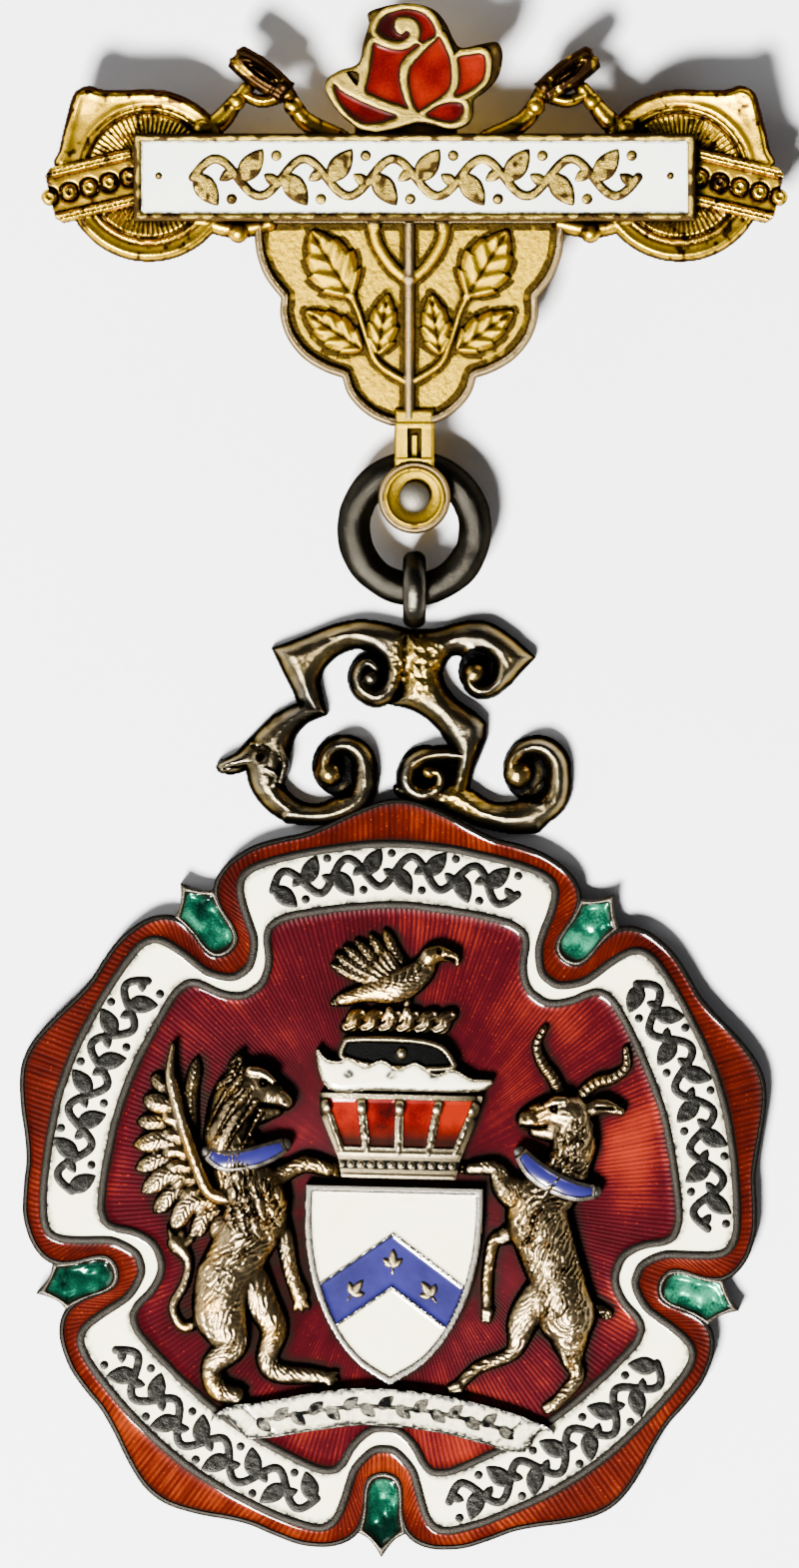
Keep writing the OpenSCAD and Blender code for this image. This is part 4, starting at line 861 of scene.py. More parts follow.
# Columns: across and up at the base, across and up at the tip, width
LEAVES = [[-15.6, -31.6, -26.4, -14, 13.4], [-12.6, -46, -28, -35.6, 9.4], [-8.4, -47.4, -5.8, -31, 8.6]]
TWIGS = [[[-15.6, -31.6, 1.6], [-13.6, -36, 1.5], [-11, -44, 1.6], [-8, -50, 1.8], [0, -55, 2]],
         [[0, -27.4, 3], [-4.6, -23.6, 3], [-8.6, -17.4, 3], [-10, -11, 3]]]
# Root and tip of the bud
BUD = [[-35.2, 23.6], [-48.6, 33.4]]
BUD_STEMS = [[[-56, 12.6, 6], [-51.6, 16, 5.4], [-48.4, 20, 4.4], [-45, 24, 4]],
             [[-46, 22.6, 3], [-41, 20.8, 3.4], [-35.4, 22, 3]],
             [[-34, 23, 4], [-32, 19, 4.6], [-28.6, 15, 5], [-20, 10.4, 6]],
             [[-58, -11, 5], [-51, -13, 5], [-46, -13.4, 5], [-39, -12, 5]]]
KNOB_AT, KNOB_R = (-47.2, -14.6), 2.6

ROSE = [[-50, 24], [-48.6, 30], [-42, 34.6], [-31.6, 38.6], [-28.6, 50], [-25.6, 61], [-26, 67],
        [-17, 70.6], [-7, 72.3], [3, 71.6], [12, 68], [18, 60.6], [22, 52], [26.4, 47.4], [37, 49.4],
        [46, 50.6], [49.4, 45], [48.6, 36], [45.6, 29], [39.6, 23], [33.6, 18.4], [33, 10],
        [29.6, 4.4], [21, 1.6], [8, 4.6], [1, 5.4], [-8, 2.6], [-20, 0.2], [-30, 1.6], [-39, 8],
        [-46, 16]]
ROSE_CELLS = [
    [[-45, 26.6], [-41.8, 23.4], [-37.6, 20.6], [-32, 17.8], [-25.7, 15], [-18.7, 12.2], [-10, 8.9],
     [-14.5, 6.9], [-20.1, 5.5], [-26.4, 4.9], [-31.3, 6.3], [-36.2, 9.8], [-40.4, 15], [-43.6, 20.6]],
    [[-22.6, 49.3], [-19.4, 48.3], [-15.2, 46.9], [-10.3, 45.8], [-6.2, 45.8], [-2, 47.2], [0.6, 49],
     [2.6, 48.9], [-0.6, 46.4], [-4.1, 43.3], [-6.9, 39.8], [-8.4, 36], [-8.6, 29.7], [-7.6, 24.1],
     [-5.8, 17.8], [-4.1, 14], [-9, 15.7], [-15.9, 17.8], [-22.2, 20.6], [-26.8, 23.1], [-26.1, 28.3],
     [-24.7, 35.3], [-23.6, 42.3]],
    [[13.8, 53.1], [16.6, 47.9], [19, 42.3], [20.1, 36.7], [20.3, 29.7], [19, 24.1], [14.8, 19.9],
     [9.2, 16.4], [3.6, 12.6], [1.9, 12.2], [-0.6, 17.1], [-2.3, 23.4], [-3, 29.7], [-2.3, 35.3],
     [0.1, 39.2], [4.3, 43.7], [8.5, 47.9], [12, 51]],
    [[25, 41.5], [30.9, 42.9], [36.5, 43.7], [39, 42.2], [39.7, 38.1], [39, 31.8], [37.2, 28.3],
     [33, 24.8], [28.1, 22], [23.6, 20.5], [23.1, 22], [24.8, 25.5], [25.5, 29.7], [25.5, 35.3]],
    [[7.1, 9.7], [9.2, 11.9], [12.7, 14], [16.9, 15.7], [21.8, 16.3], [26, 15.7], [27.4, 13.6],
     [26.7, 10.1], [24.6, 7.3], [20.4, 5.9], [15.5, 6.6], [10.6, 8]],
    [[2.9, 51.2], [3.6, 54.2], [4, 57.7], [2.6, 61.2], [-0.6, 64], [-4.8, 65.2], [-8.9, 64.8],
     [-11, 62.6], [-11.5, 59.1], [-10.3, 56.3], [-8.1, 54.3], [-6.5, 54.5], [-4.1, 56.3], [-3.2, 54.9],
     [-4.8, 52.8], [-7.6, 51.5], [-13.1, 52], [-17.3, 53.5], [-20.3, 56.3], [-20.5, 58.7],
     [-18.7, 62.6], [-15.2, 65.7], [-10.3, 67.5], [-4.8, 68.4], [0.8, 67.8], [5.7, 65.7], [9.2, 61.9],
     [11.5, 57], [11, 53.8], [7.1, 51.7], [4.8, 50.6]]]
ROSE_GAP = [[-37.6, 33.4], [-31.6, 32.6], [-32.2, 26], [-35, 29]]


# ---------------------------------------------------------------- pendant
def ring_point(angle, radius):
    a = np.radians(angle)
    return np.stack([radius * np.sin(a), radius * np.cos(a)], -1)


def fivefold(table):
    """Clockwise loop from a half sector; it starts in the middle of a petal."""
    t = np.array(table, float)
    side = np.concatenate([t[:0:-1] * [-1, 1], t[:-1]])
    rows = [ring_point(SECTOR * (i + 0.5) + side[:, 0], side[:, 1] * PU) for i in range(5)]
    return spline(np.concatenate(rows), closed=True)


def matched(table, count, offset=0.0):
    """The loop with count points in each half sector, and the way along it from each petal's middle."""
    loop = fivefold(table)
    loop = loop + normals(loop) * offset
    m = len(loop) // 10
    parts, along = [], []
    for k in range(10):
        part = loop[np.arange(k * m, (k + 1) * m + 1) % len(loop)]
        parts.append(resample(part, count + 1)[:-1])
        share = np.arange(count) / count
        along.append(lengths(part)[-1] * (share if k % 2 == 0 else 1 - share))
    return np.concatenate(parts), np.concatenate(along)


def wobble(loop, size, scale, seed):
    """Hand-made unevenness of a path."""
    return loop + normals(loop) * (lattice_noise(loop[:, 0] + 50, loop[:, 1] + 50, scale, seed)
                                   * size)[:, None]


HALF_COUNT = 90
WALL_HALF = 0.20
WALL_PROFILE = [(-WALL_HALF, 0.95), (-WALL_HALF, 1.29), (-0.10, 1.362), (0.10, 1.362), (WALL_HALF, 1.29),
                (WALL_HALF, 0.95)]


def wall(name, table):
    loop = wobble(matched(table, HALF_COUNT)[0], 0.02, 1.1, len(table))
    sweep(name, loop, WALL_PROFILE, "rim", ["pendant_frame"],
          {"ridge": [0, 0.05, 0.40, 0.40, 0.05, 0]})


def build_walls():
    outer = wobble(matched(RED_EDGE, HALF_COUNT)[0], 0.02, 1.3, 5)
    profile = [(0.0, 0.95), (0.0, 1.30), (0.05, 1.36), (0.15, 1.35), (0.21, 1.27), (0.235, 1.10),
               (0.24, 0.60), (0.235, 0.20), (0.17, 0.0), (-0.6, 0.0), (-0.6, 0.95)]
    # The patina column paints shade on the rim's sides, darkest down its outer wall.
    sweep("pendant_rim", outer, profile, "rim", ["pendant_frame"],
          {"ridge": [0, 0.05, 0.35, 0.45, 0.25, 0.1, 0, 0, 0, 0, 0],
           "patina_and_shade": [0.7, 0.5, 0.1, 0.1, 0.35, 0.6, 0.8, 0.8, 0.5, 0.5, 0.5]})
    wall("red_wall", PARTITION)
    wall("field_wall", FIELD_EDGE)
    plate = matched(RED_EDGE, 60, -0.4)[0]
    prism("pendant_back", plate, 0.0, 0.92, "tarnish", ["pendant_frame"])


def build_bands():
    """The red petals' band and the white band inside it, each higher and dirtier along its walls."""
    share = np.linspace(0, 1, 9)
    lift = 0.045 * np.abs(2 * share - 1) ** 5
    dirt_and_shade = np.abs(2 * share - 1) ** 10
    under = [(1, ENAMEL_FLOOR, 1), (0, ENAMEL_FLOOR, 1)]
    inner, along = matched(PARTITION, HALF_COUNT, WALL_HALF - 0.03)
    outer, _ = matched(RED_EDGE, HALF_COUNT, 0.01)
    profile = [(v, ENAMEL_Z + a, d) for v, a, d in zip(share, lift, dirt_and_shade)] + under
    angle = np.arctan2(inner[:, 0], inner[:, 1])
    glow = -0.12 + 0.22 * unit(-np.cos(angle)) - 0.1 * unit(np.sin(angle))
    strip("outer_enamel", inner, outer, profile, along, "red", ["petal_enamel"], glow=glow)
    inner, along = matched(FIELD_EDGE, HALF_COUNT, WALL_HALF - 0.03)
    outer, _ = matched(PARTITION, HALF_COUNT, 0.03 - WALL_HALF)
    profile = [(v, ENAMEL_Z + 0.02 + a * 0.6, d * 0.8) for v, a, d in zip(share, lift, dirt_and_shade)] + under
    strip("white_bands", inner, outer, profile, along, "white", ["white_enamel"])


def sample(grid, F, p):
    """Value of a grid's field at the points, 0 outside the grid."""
    u = (p[:, 0] - grid.x0) / grid.step
    v = (p[:, 1] - grid.y0) / grid.step
    ok = (u > 0) & (v > 0) & (u < grid.nx - 1.001) & (v < grid.ny - 1.001)
    return np.where(ok, bilinear(F, np.where(ok, u, 0), np.where(ok, v, 0)), 0)


SHADE = Relief((-14.5, -14.5), (14.5, 14.5), 0.1)
SHADE_MASK = SHADE.zeros()


def cast_painted_shadow(grid, S):
    """Marks where a raised piece stands on the field, for the painted shadow round its foot."""
    points = np.stack([SHADE.X.ravel(), SHADE.Y.ravel()], 1)
    inside = sample(grid, (S > 0).astype(float), points).reshape(SHADE.X.shape)
    np.maximum(SHADE_MASK, inside, out=SHADE_MASK)


# Where the field is lighter or darker. Columns: amount, across, up, spread across, spread up
GLOWS = [[0.25, 7.8, 8.2, 9, 9], [0.10, 1, 10.8, 8, 8], [0.34, 11.9, 2.4, 4, 10], [0.28, 4, -12.2, 8, 8],
         [0.20, -3.6, -12, 5, 5], [0.28, 11.5, -6, 4, 4], [0.05, -9, 8, 20, 20]]


def build_field():
    """The inner field as a disc of rings, with dirt along its wall and a painted shadow round the raised
    pieces.
    """
    # Painted shadow: the raised pieces' outlines shifted up and to the right, then spread.
    shadow = np.maximum(SHADE_MASK, np.roll(np.roll(SHADE_MASK, 2, 0), 2, 1))
    spread = unit(2.3 * blur(shadow, 2) - 0.25)
    loop, _ = matched(FIELD_EDGE, 60, 0.03 - WALL_HALF)
    turns, rings = ((520, 60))
    theta = np.linspace(-math.pi, math.pi, turns + 1)[:-1]
    angle = np.arctan2(loop[:, 0], loop[:, 1])
    order = np.argsort(angle)
    radius = np.interp(theta, angle[order], np.hypot(*loop.T)[order], period=2 * math.pi)
    share = np.linspace(0, 1, rings + 1)[1:]
    R = radius[:, None] * share[None]
    T = theta[:, None] + np.zeros_like(R)
    xy = np.stack([R * np.sin(T), R * np.cos(T)], -1).reshape(-1, 2)
    edge = (radius[:, None] - R).ravel()
    wave = lattice_noise(xy[:, 0] + 40, xy[:, 1] + 40, 2.4, 11)
    z = ENAMEL_Z - 0.02 + 0.012 * wave + 0.07 * bell(edge, 0.12)
    # Darkening from the painted shadow round the raised pieces and from dirt along the wall.
    dirt_and_shade = np.maximum(sample(SHADE, spread, xy), 0.9 * bell(edge, 0.07))
    dirt_and_shade = unit(dirt_and_shade * (0.85 + 0.5 * lattice_noise(xy[:, 0] + 9, xy[:, 1] + 9, 0.35, 3)))
    x, y = xy[:, 0], xy[:, 1]
    glow = sum(g * np.exp(-(x - cx) ** 2 / wide - (y - cy) ** 2 / tall)
               for g, cx, cy, wide, tall in GLOWS)
    # The painted shadow also dims the painted light round the raised pieces.
    glow = glow - 0.10 - 0.35 * sample(SHADE, blur(shadow, 4), xy)
    along = np.abs(T).ravel() / math.pi * 180 + 0.12 * R.ravel()
    n = turns * rings
    rim = np.arange(turns) * rings + rings - 1
    low = n + 1 + np.arange(turns)
    verts = np.column_stack([np.concatenate([xy, [[0, 0]], xy[rim], [[0, 0]]]),
                             np.concatenate([z, [ENAMEL_Z], np.full(turns + 1, ENAMEL_FLOOR)])])
    verts[:, :2] = on_pendant(verts[:, :2])
    i = np.arange(turns)[:, None] * rings + np.arange(rings - 1)[None]
    j = (np.arange(turns)[:, None] + 1) % turns * rings + np.arange(rings - 1)[None]
    quads = np.stack([i, i + 1, j + 1, j], -1).reshape(-1, 4)[:, ::-1]
    a = np.arange(turns)
    b = (a + 1) % turns
    fan = np.stack([np.full(turns, n), b * rings, a * rings], 1)
    sides = np.stack([rim[a], rim[b], low[b], low[a]], 1)
    under = np.stack([np.full(turns, n + 1 + turns), low[a], low[b]], 1)
    pad = lambda v, c: np.concatenate([v, [c], v[rim], [c]])
    piece("field", verts, [quads, fan, sides, under], "crimson", ["field_enamel"],
          {"along": pad(along, 0), "grime_and_shade": pad(dirt_and_shade, 1), "glow": pad(glow, 0)}, 60.0)


def at_sepal(i):
    """Turns a sepal's own drawing, which points up, to its place."""
    return lambda p: on_pendant(turned(p, -math.radians(SECTOR * (i + 0.5))))


def build_sepals():
    grid = sheet(1, -1.4, 13.4, 1.4, 18.1, 0.052)
    S, C = (grid.distance([both_sides(runs) * PU], 0.6)
            for runs in ([SEPAL_TIP, SEPAL_BODY], [SEPAL_CELL[:3], SEPAL_CELL[2:]]))
    Z = np.where(C > 0, 0.98, WALL_Z - 0.12 + 0.14 * round_profile(unit(np.minimum(S, -C) / 0.13)))
    gloss = lattice_noise(grid.X + 20, grid.Y * 0.7 + 20, 0.42, 17)
    for i in range(5):
        relief_solid(f"sepal_{i + 1}", grid, S, Z, 0.0, "tarnish",
                     ["pendant_frame"], at_sepal(i), sharp=60)
        wrinkle = lattice_noise(grid.X + 20 + 7 * i, grid.Y * 0.8 + 20, 0.36, 23 + i)
        low = ENAMEL_Z - 0.06 + 0.05 * wrinkle + 0.03 * gloss + 0.10 * verge(C, 0.2)
        # Dirt along the cell's wall, and painted shade at its inner end.
        dark = verge(C, 0.12) * 0.85 + 0.8 * unit((14.35 - grid.Y) / 0.5)
        glass(f"sepal_glass_{i + 1}", grid, C + 0.02, low, 0.95, "green", "green_enamel",
              [f"sepal_enamel_{i + 1}"], unit(dark), at_sepal(i), glow=0.25 * wrinkle)


# ---------------------------------------------------------------- raised figures
FIGURE_BASE, FIGURE_LIFT, FIGURE_TOP = 1.20, 0.30, 3.05


class Sculpt:
    """Builds a figure from overlapping rounded forms on one grid."""

    def __init__(self, x0, y0, x1, y1, step=0.06):
        self.grid = sheet(PU, x0, y0, x1, y1, step)
        self.S = self.grid.zeros(-1.0)
        self.Z = self.grid.zeros(-0.2)

    def form(self, rows, lift=0.0, blend=0.12, height=0.80, fur=None, steps=6):
        """A limb; fur is (depth, spacing, slant) of the hairs along it."""
        t, along, side, radius = self.grid.limb(np.array(rows, float) * PU, steps)
        z = lift + height * radius * round_profile(t)
        if fur is not None:
            depth, gap, slant = fur
            phase = (side + slant * along) / gap + 0.8 * lattice_noise(along + 9, side + 9, 0.5, 4)
            break_up = 0.5 + 0.5 * self.grid.grain(0.28, 8, 30)
            z = z + depth * np.sin(2 * math.pi * phase) * break_up * unit(t * 4)
        merged = smooth_max(self.Z, z, blend) if blend > 0 else np.maximum(self.Z, z)
        self.Z = np.where(t > 0, merged, self.Z)
        self.S = np.maximum(self.S, np.minimum(t, 1.0) * radius)
        return t, along, side

    def feather(self, root, tip, radius, lift=0.0, bend=0.0, barbs=0.035):
        """A long narrow feather with a quill and slanted barbs."""
        root, tip = np.array(root, float), np.array(tip, float)
        across, up = tip - root
        mid = (root + tip) / 2 + bend * np.array([-up, across])
        late = mid + 0.62 * (tip - mid)
        rows = [[*root, radius * 0.8], [*mid, radius], [*late, radius * 0.9], [*tip, radius * 0.25]]
        t, along, side, r = self.grid.limb(np.array(rows) * PU, 6)
        quill = 0.05 * bell(side, 0.05)
        comb = barbs * np.sin(2 * math.pi * (along - 1.1 * np.abs(side)) / 0.26)
        z = lift + 0.75 * r * np.maximum(round_profile(t), 0) ** 0.8 + (quill + comb) * unit(t * 3)
        self.Z = raised(self.Z, z, t > 0)
        self.S = np.maximum(self.S, np.minimum(t, 1.0) * r)

    def plume(self, root, degrees, size, radius, lift, bend, barbs=0.035):
        """A feather given by its root, direction and length."""
        self.feather(root, np.array(root) + size * heading(degrees), radius, lift, bend, barbs)

    def lock(self, rows, width, rise):
        """A strand laid over the surface that is already there, with a groove round it."""
        p = np.array(rows, float).reshape(-1, 2)
        w = width * np.linspace(1, 0.4, len(p))
        t = self.grid.limb(np.column_stack([p, w]) * PU, 6)[0]
        groove = -0.6 * rise * verge(np.abs(t), 0.35)
        self.Z += np.where(t > 0, rise * unit(round_profile(t)), groove) * (self.S > 0)

    def cut(self, rows, width, depth):
        """A groove along a line."""
        p = np.array(rows, float).reshape(-1, 2)
        d = self.grid.distance([(spline(p) if len(p) > 2 else p) * PU], 0.5, closed=False)
        self.Z -= depth * bell(d, width)

    def dot(self, at, radius, height):
        """A small ball, or with a negative height a small pit."""
        self.Z += height * dome(self.grid.off(*at) / (radius * PU))

    def eye(self, at):
        self.dot(at, 1.1, -0.30)
        self.dot(at, 0.55, 0.22)

    def claws(self, at, angle, size=1.3, lift=0.0):
        """Three toes spread round a direction in degrees."""
        for k in (-1, 0, 1):
            u = heading(angle + 34 * k)
            rows = [[*(at + u * way), size * part]
                    for way, part in ((-0.4, 1), (1.7, 0.85), (3.2, 0.35))]
            self.form(rows, lift, 0.0, 0.9, steps=4)

    def finish(self, name, node):
        """Adds the casting's grain and makes the solid."""
        grid = self.grid
        Z = FIGURE_BASE + FIGURE_LIFT + np.maximum(self.Z, -0.1) + 0.014 * grid.grain(0.16, 31, 60)
        cast_painted_shadow(grid, self.S)
        fields = {"gold": np.clip(0.9 * grid.grain(1.3, 33, 80) - 0.1, 0, 0.8),
                  # This patina is painted shade along the figure's outline and down its sides.
                  "patina_and_shade": 0.7 * verge(self.S, 0.10),
                  **relief_attributes(grid, Z, self.S > 0, 0.26, 10.0)}
        relief_solid(name, grid, self.S, np.minimum(Z, FIGURE_TOP), FIGURE_BASE, "figure",
                     [node], attributes=fields, sharp=62)


def build_lion():
    s = Sculpt(-69, -59, -12, 39)
    part = LION
    s.form(part["tail"], -0.10)
    for k in range(3):
        s.form([[-54.6, -17, 1.4], [-55.5 + 2.2 * k, -13.5 - abs(k - 1), 1.2],
                [-56.8 + 3 * k, -10 - abs(k - 1), 0.4]], -0.05, 0.0)
    s.feather(FEATHERS[0][:2], FEATHERS[0][2:4], 2.1, -0.05, bend=0.06)
    fan = resample(np.array(FEATHERS[1:], float)[:, [2, 3, 0, 1]], 10)[:, [2, 3, 0, 1]]
    for i, f in enumerate(fan):
        s.feather(f[:2], f[2:4], 2.7, 0.22 if i % 2 else 0.02, bend=-0.20, barbs=0.025)
    for i, f in enumerate(fan[1:-2]):
        s.feather(f[:2], f[:2] + (f[2:4] - f[:2]) * 0.5, 1.8, 0.46 - 0.03 * i, bend=-0.16, barbs=0.0)
    s.form(np.array(part["wing"]) * [1, 1, 0.60], 0.52, 0.0, 1.1)
    s.form(part["hind_far"], -0.10, 0.05, fur=(0.05, 0.26, 0.7))
    s.form(part["fore_far"], -0.05, 0.05, fur=(0.05, 0.24, 0.7))
    s.form(part["body"], 0.06, 0.15, fur=(0.09, 0.28, 0.6))
    s.form(part["hind"], 0.12, 0.10, fur=(0.06, 0.27, 0.7))
    s.form([[-41, -22, 6], [-42.5, -30, 6.4], [-40.5, -36, 4.6]], 0.22, 0.12, fur=(0.075, 0.28, 0.7))
    s.form(part["fore"], 0.22, 0.08, fur=(0.05, 0.24, 0.7))
    for k in range(4):
        for j in range(3):
            x, y = -39.5 + 3.6 * k - 1.2 * j, 2.5 - 4.4 * j - 1.2 * k
            s.lock([x, y, x + 0.6, y - 2.8, x + 2.0, y - 5.0], 1.3, 0.10)
    s.form(part["jaw"], 0.15, 0.05)
    s.form(part["neck"], 0.16, 0.12)
    s.form([[-38, 24.5, 6.2], [-35.6, 26, 5.2]], 0.30, 0.15)
    s.form(part["muzzle"], 0.24, 0.12)
    s.form([[-28.4, 22.4, 2.0], [-27.2, 21.4, 1.7]], 0.62, 0.10)
    s.form([[-36.6, 29.2, 1.3], [-33.4, 28.6, 1.3], [-30.8, 26.8, 0.9]], 0.98, 0.12)
    s.form(part["ear"], 0.55, 0.04)
    s.cut([-40.6, 29.6, -39.8, 31.8], 0.07, 0.18)
    for rows in MANE:
        for k in (-1.3, 0, 1.3):
            s.lock(np.reshape(rows, (-1, 2)) + [0.5 * k, k], 0.85, 0.13)
    s.eye((-33.2, 26.2))
    s.cut([-27.2, 19.6, -30.5, 20.2, -33.8, 20.6], 0.08, 0.34)
    s.dot((-27.4, 21.6), 0.5, -0.15)
    s.claws((-15.8, 4.4), 0, 1.3, 0.15)
    s.claws((-22.6, -29), -78, 1.3)
    s.claws((-15.6, -49.2), -8, 1.4)
    s.claws((-38.8, -54.0), -12, 1.4, 0.05)
    s.finish("winged_lion", "lion")


def build_antelope():
    s = Sculpt(14, -59, 64, 46)
    part = ANTELOPE
    s.form(part["tail"], -0.05, fur=(0.05, 0.2, 0.2))
    for name, lift in (("horn_far", 0.0), ("horn", 0.10)):
        t, along, _ = s.form(part[name], lift, 0.05, 0.9)
        s.Z = np.where(t > 0, s.Z + 0.05 * np.sin(2 * math.pi * along / 0.30) * unit(t * 3), s.Z)
    s.form(part["hind_far"], -0.08, 0.05, fur=(0.045, 0.26, 0.5))
    s.form(part["fore_far"], -0.05, 0.05, fur=(0.04, 0.24, 0.7))
    s.form(part["body"], 0.06, 0.15, fur=(0.10, 0.28, 0.8))
    s.form(part["hind"], 0.10, 0.10, fur=(0.06, 0.26, 0.8))
    s.form([[44, -24, 6.4], [46.6, -31, 6.6], [46.8, -37, 4.6]], 0.22, 0.12, fur=(0.08, 0.27, 0.8))
    s.form([[37, -3, 5.4], [38.5, -9, 5.0]], 0.24, 0.18, fur=(0.08, 0.27, 0.7))
    s.form(part["fore"], 0.20, 0.08, fur=(0.05, 0.25, 0.7))
    s.form(part["jaw"], 0.12, 0.06)
    s.form(part["neck"], 0.18, 0.12, fur=(0.08, 0.30, 0.3))
    s.form([[46, 19.6, 5.2], [42.6, 20.6, 4.6]], 0.28, 0.12)
    s.form([[35.6, 18.4, 2.5], [34.2, 17.8, 2.1]], 0.42, 0.08)
    s.form([[44, 23.4, 1.2], [41.4, 23.2, 1.2], [39.4, 22.2, 0.8]], 0.86, 0.12)
    s.form(part["ear"], 0.42, 0.04)
    s.cut([52.4, 21.8, 56.6, 21.8], 0.07, 0.18)
    s.eye((41.4, 21.4))
    s.cut([33.2, 16.8, 36.6, 16.4, 39.4, 16.8], 0.07, 0.26)
    s.dot((34.0, 18.6), 0.5, -0.15)
    for k in range(6):
        for j in (0, 1):
            x, y = 50.2 - 1.9 * k - j, 15 - 2.6 * k + 5 * j
            s.lock([x, y, x - 0.6, y - 2.4, x - 2.2, y - 4.2], 1.0, 0.09)
    for x, y, angle in ((20.6, 5.4, 180), (25.6, -31, -95), (18.8, -50.6, -160), (43.2, -54.6, -150)):
        a = heading(angle)
        for k in (-0.6, 0.6):
            p = np.array([x - k * a[1], y + k * a[0]])
            s.form([[*p, 1.1], [*(p + 2.4 * a), 0.75]], 0.05, 0.0, 0.95)
    s.finish("antelope_figure", "antelope")


def build_bird():
    s = Sculpt(-21, 36, 20, 70, 0.054)
    for x, y in WREATH:
        rows = [[x - 2.0, y - 1.8, 1.6], [x - 0.4, y - 1.0, 2.2], [x + 0.4, y + 0.9, 2.2],
                [x + 2.0, y + 1.8, 1.6]]
        t, _, side = s.form(rows, 0.06, 0.0, 0.9)
        s.Z = np.where(t > 0, s.Z - 0.05 * np.cos(2 * math.pi * side / 0.26) * unit(t * 3), s.Z)
    s.form(BIRD["leg_a"], 0.12, 0.05)
    s.form(BIRD["leg_b"], 0.08, 0.05)
    for x in (3, -1.4):
        s.claws((x, 45.4), -90, 0.8, 0.35)
    for i in range(5):
        across, up = heading(150 + 9 * i)
        s.feather((-6 + 0.3 * i, 49.6), (-6 + 10.5 * across, 49.6 - 2.2 * up - 0.8 * i), 1.1,
                  0.02 + 0.02 * i, 0.03)
    for i, (x, y, angle, size) in enumerate(QUILLS):
        s.plume((x, y), angle, size, 1.4 if i == 5 else 1.5, 0.02 + 0.04 * i, 0.05)
    for k in range(5):
        s.plume((1.6 - 0.5 * k, 54.4 - 0.5 * k), 126 + 9 * k, 7.6, 1.2, 0.30 + 0.02 * k, 0.04, 0.02)
    s.form(BIRD["body"], 0.20, 0.10, fur=(0.035, 0.22, 0.6))
    s.form(BIRD["head"], 0.34, 0.10)
    s.form([[12.6, 60.6, 1.3], [15.2, 59.6, 0.8], [15.8, 57.8, 0.45]], 0.5, 0.06)
    s.dot((11.0, 61.0), 0.8, -0.22)
    s.cut([12.6, 59.3, 15.0, 58.8], 0.05, 0.16)
    for k in range(5):
        s.lock([5.5 - 1.9 * k, 57 - 0.9 * k, 4.6 - 1.9 * k, 54.4 - 0.9 * k], 0.9, 0.07)
    s.finish("bird_on_wreath", "crest_bird")


def build_collars():
    """Plain enamelled bands with a scalloped silver edge."""
    for name, rows, node in (("lion_band", LION_COLLAR, "lion_collar"),
                             ("antelope_band", ANTELOPE_COLLAR, "antelope_collar")):
        p = np.array(rows) * PU
        grid = Relief(p[:, :2].min(0) - 1.0, p[:, :2].max(0) + 1.0, 0.05)
        t, along, side, radius = grid.limb(np.column_stack([p[:, :2], p[:, 2] * 0.5]), 8)
        total = lengths(spline(p))[-1]
        S = np.minimum(np.minimum(along, total - along) + 0.02, radius - np.abs(side))
        S = np.where(t > -0.3, S, -1)
        Z = 2.16 + 0.62 * dome((along / total) * 2 - 1) - 0.16 * (side / np.maximum(radius, 0.1)) ** 2
        seat = 0.06 * (verge(np.abs(S - 0.06), 0.07) < 0.2)
        relief_solid(name, grid, S, Z - seat, 1.55, "blue", [node], sharp=60, ridge=False,
                     attributes={"grime_and_shade": verge(S, 0.05) * 0.7})
        scallop = 0.5 + 0.5 * np.cos(2 * math.pi * along / (total / 5))
        relief_solid(name + "_edge", grid, np.minimum(S, 0.17 - S), Z + 0.05 + 0.04 * scallop, 1.9,
                     "silver", [node], sharp=60)


# ---------------------------------------------------------------- shield, coronet, cap and scroll
def chevron_field(grid, top, bottom):
    """Positive between the chevron's two edges."""
    y = grid.Y + CHEVRON_SLOPE * np.abs(grid.X - 1.0 * PU)
    slope = math.hypot(1, CHEVRON_SLOPE)
    return np.minimum(top * PU - y, y - bottom * PU) / slope


def leaf_field(grid, base, tip, width, teeth=0.0):
    """Positive inside a pointed leaf; also the share along it, the signed side and half the width."""
    base, tip = np.array(base, float), np.array(tip, float)
    d = tip - base
    size = float(np.hypot(*d))
    u = d / size
    s = ((grid.X - base[0]) * u[0] + (grid.Y - base[1]) * u[1]) / size
    side = -(grid.X - base[0]) * u[1] + (grid.Y - base[1]) * u[0]
    q = unit(s)
    half = 0.5 * width * np.sin(math.pi * q ** 0.8) ** 0.75
    if teeth:
        half = half * (1 + 0.20 * (np.mod(q * teeth, 1.0) - 0.5))
    beyond = np.minimum(s, 0) * size + np.maximum(s - 1, 0) * size
    inside = np.where((s > 0) & (s < 1), half - np.abs(side), -np.hypot(beyond, side))
    return np.clip(inside, -1, 1), q, side, half


def shield_leaf(grid, at, angle, size):
    """A plain leaf of three lobes on a short stalk."""
    best = grid.zeros(-1.0)
    for turn, length, width in ((0, 1.0, 0.5), (52, 0.72, 0.42), (-52, 0.72, 0.42), (180, 0.5, 0.13)):
        tip = np.array(at) + size * length * heading(angle + turn)
        best = np.maximum(best, leaf_field(grid, at, tip, size * width)[0])
    return best


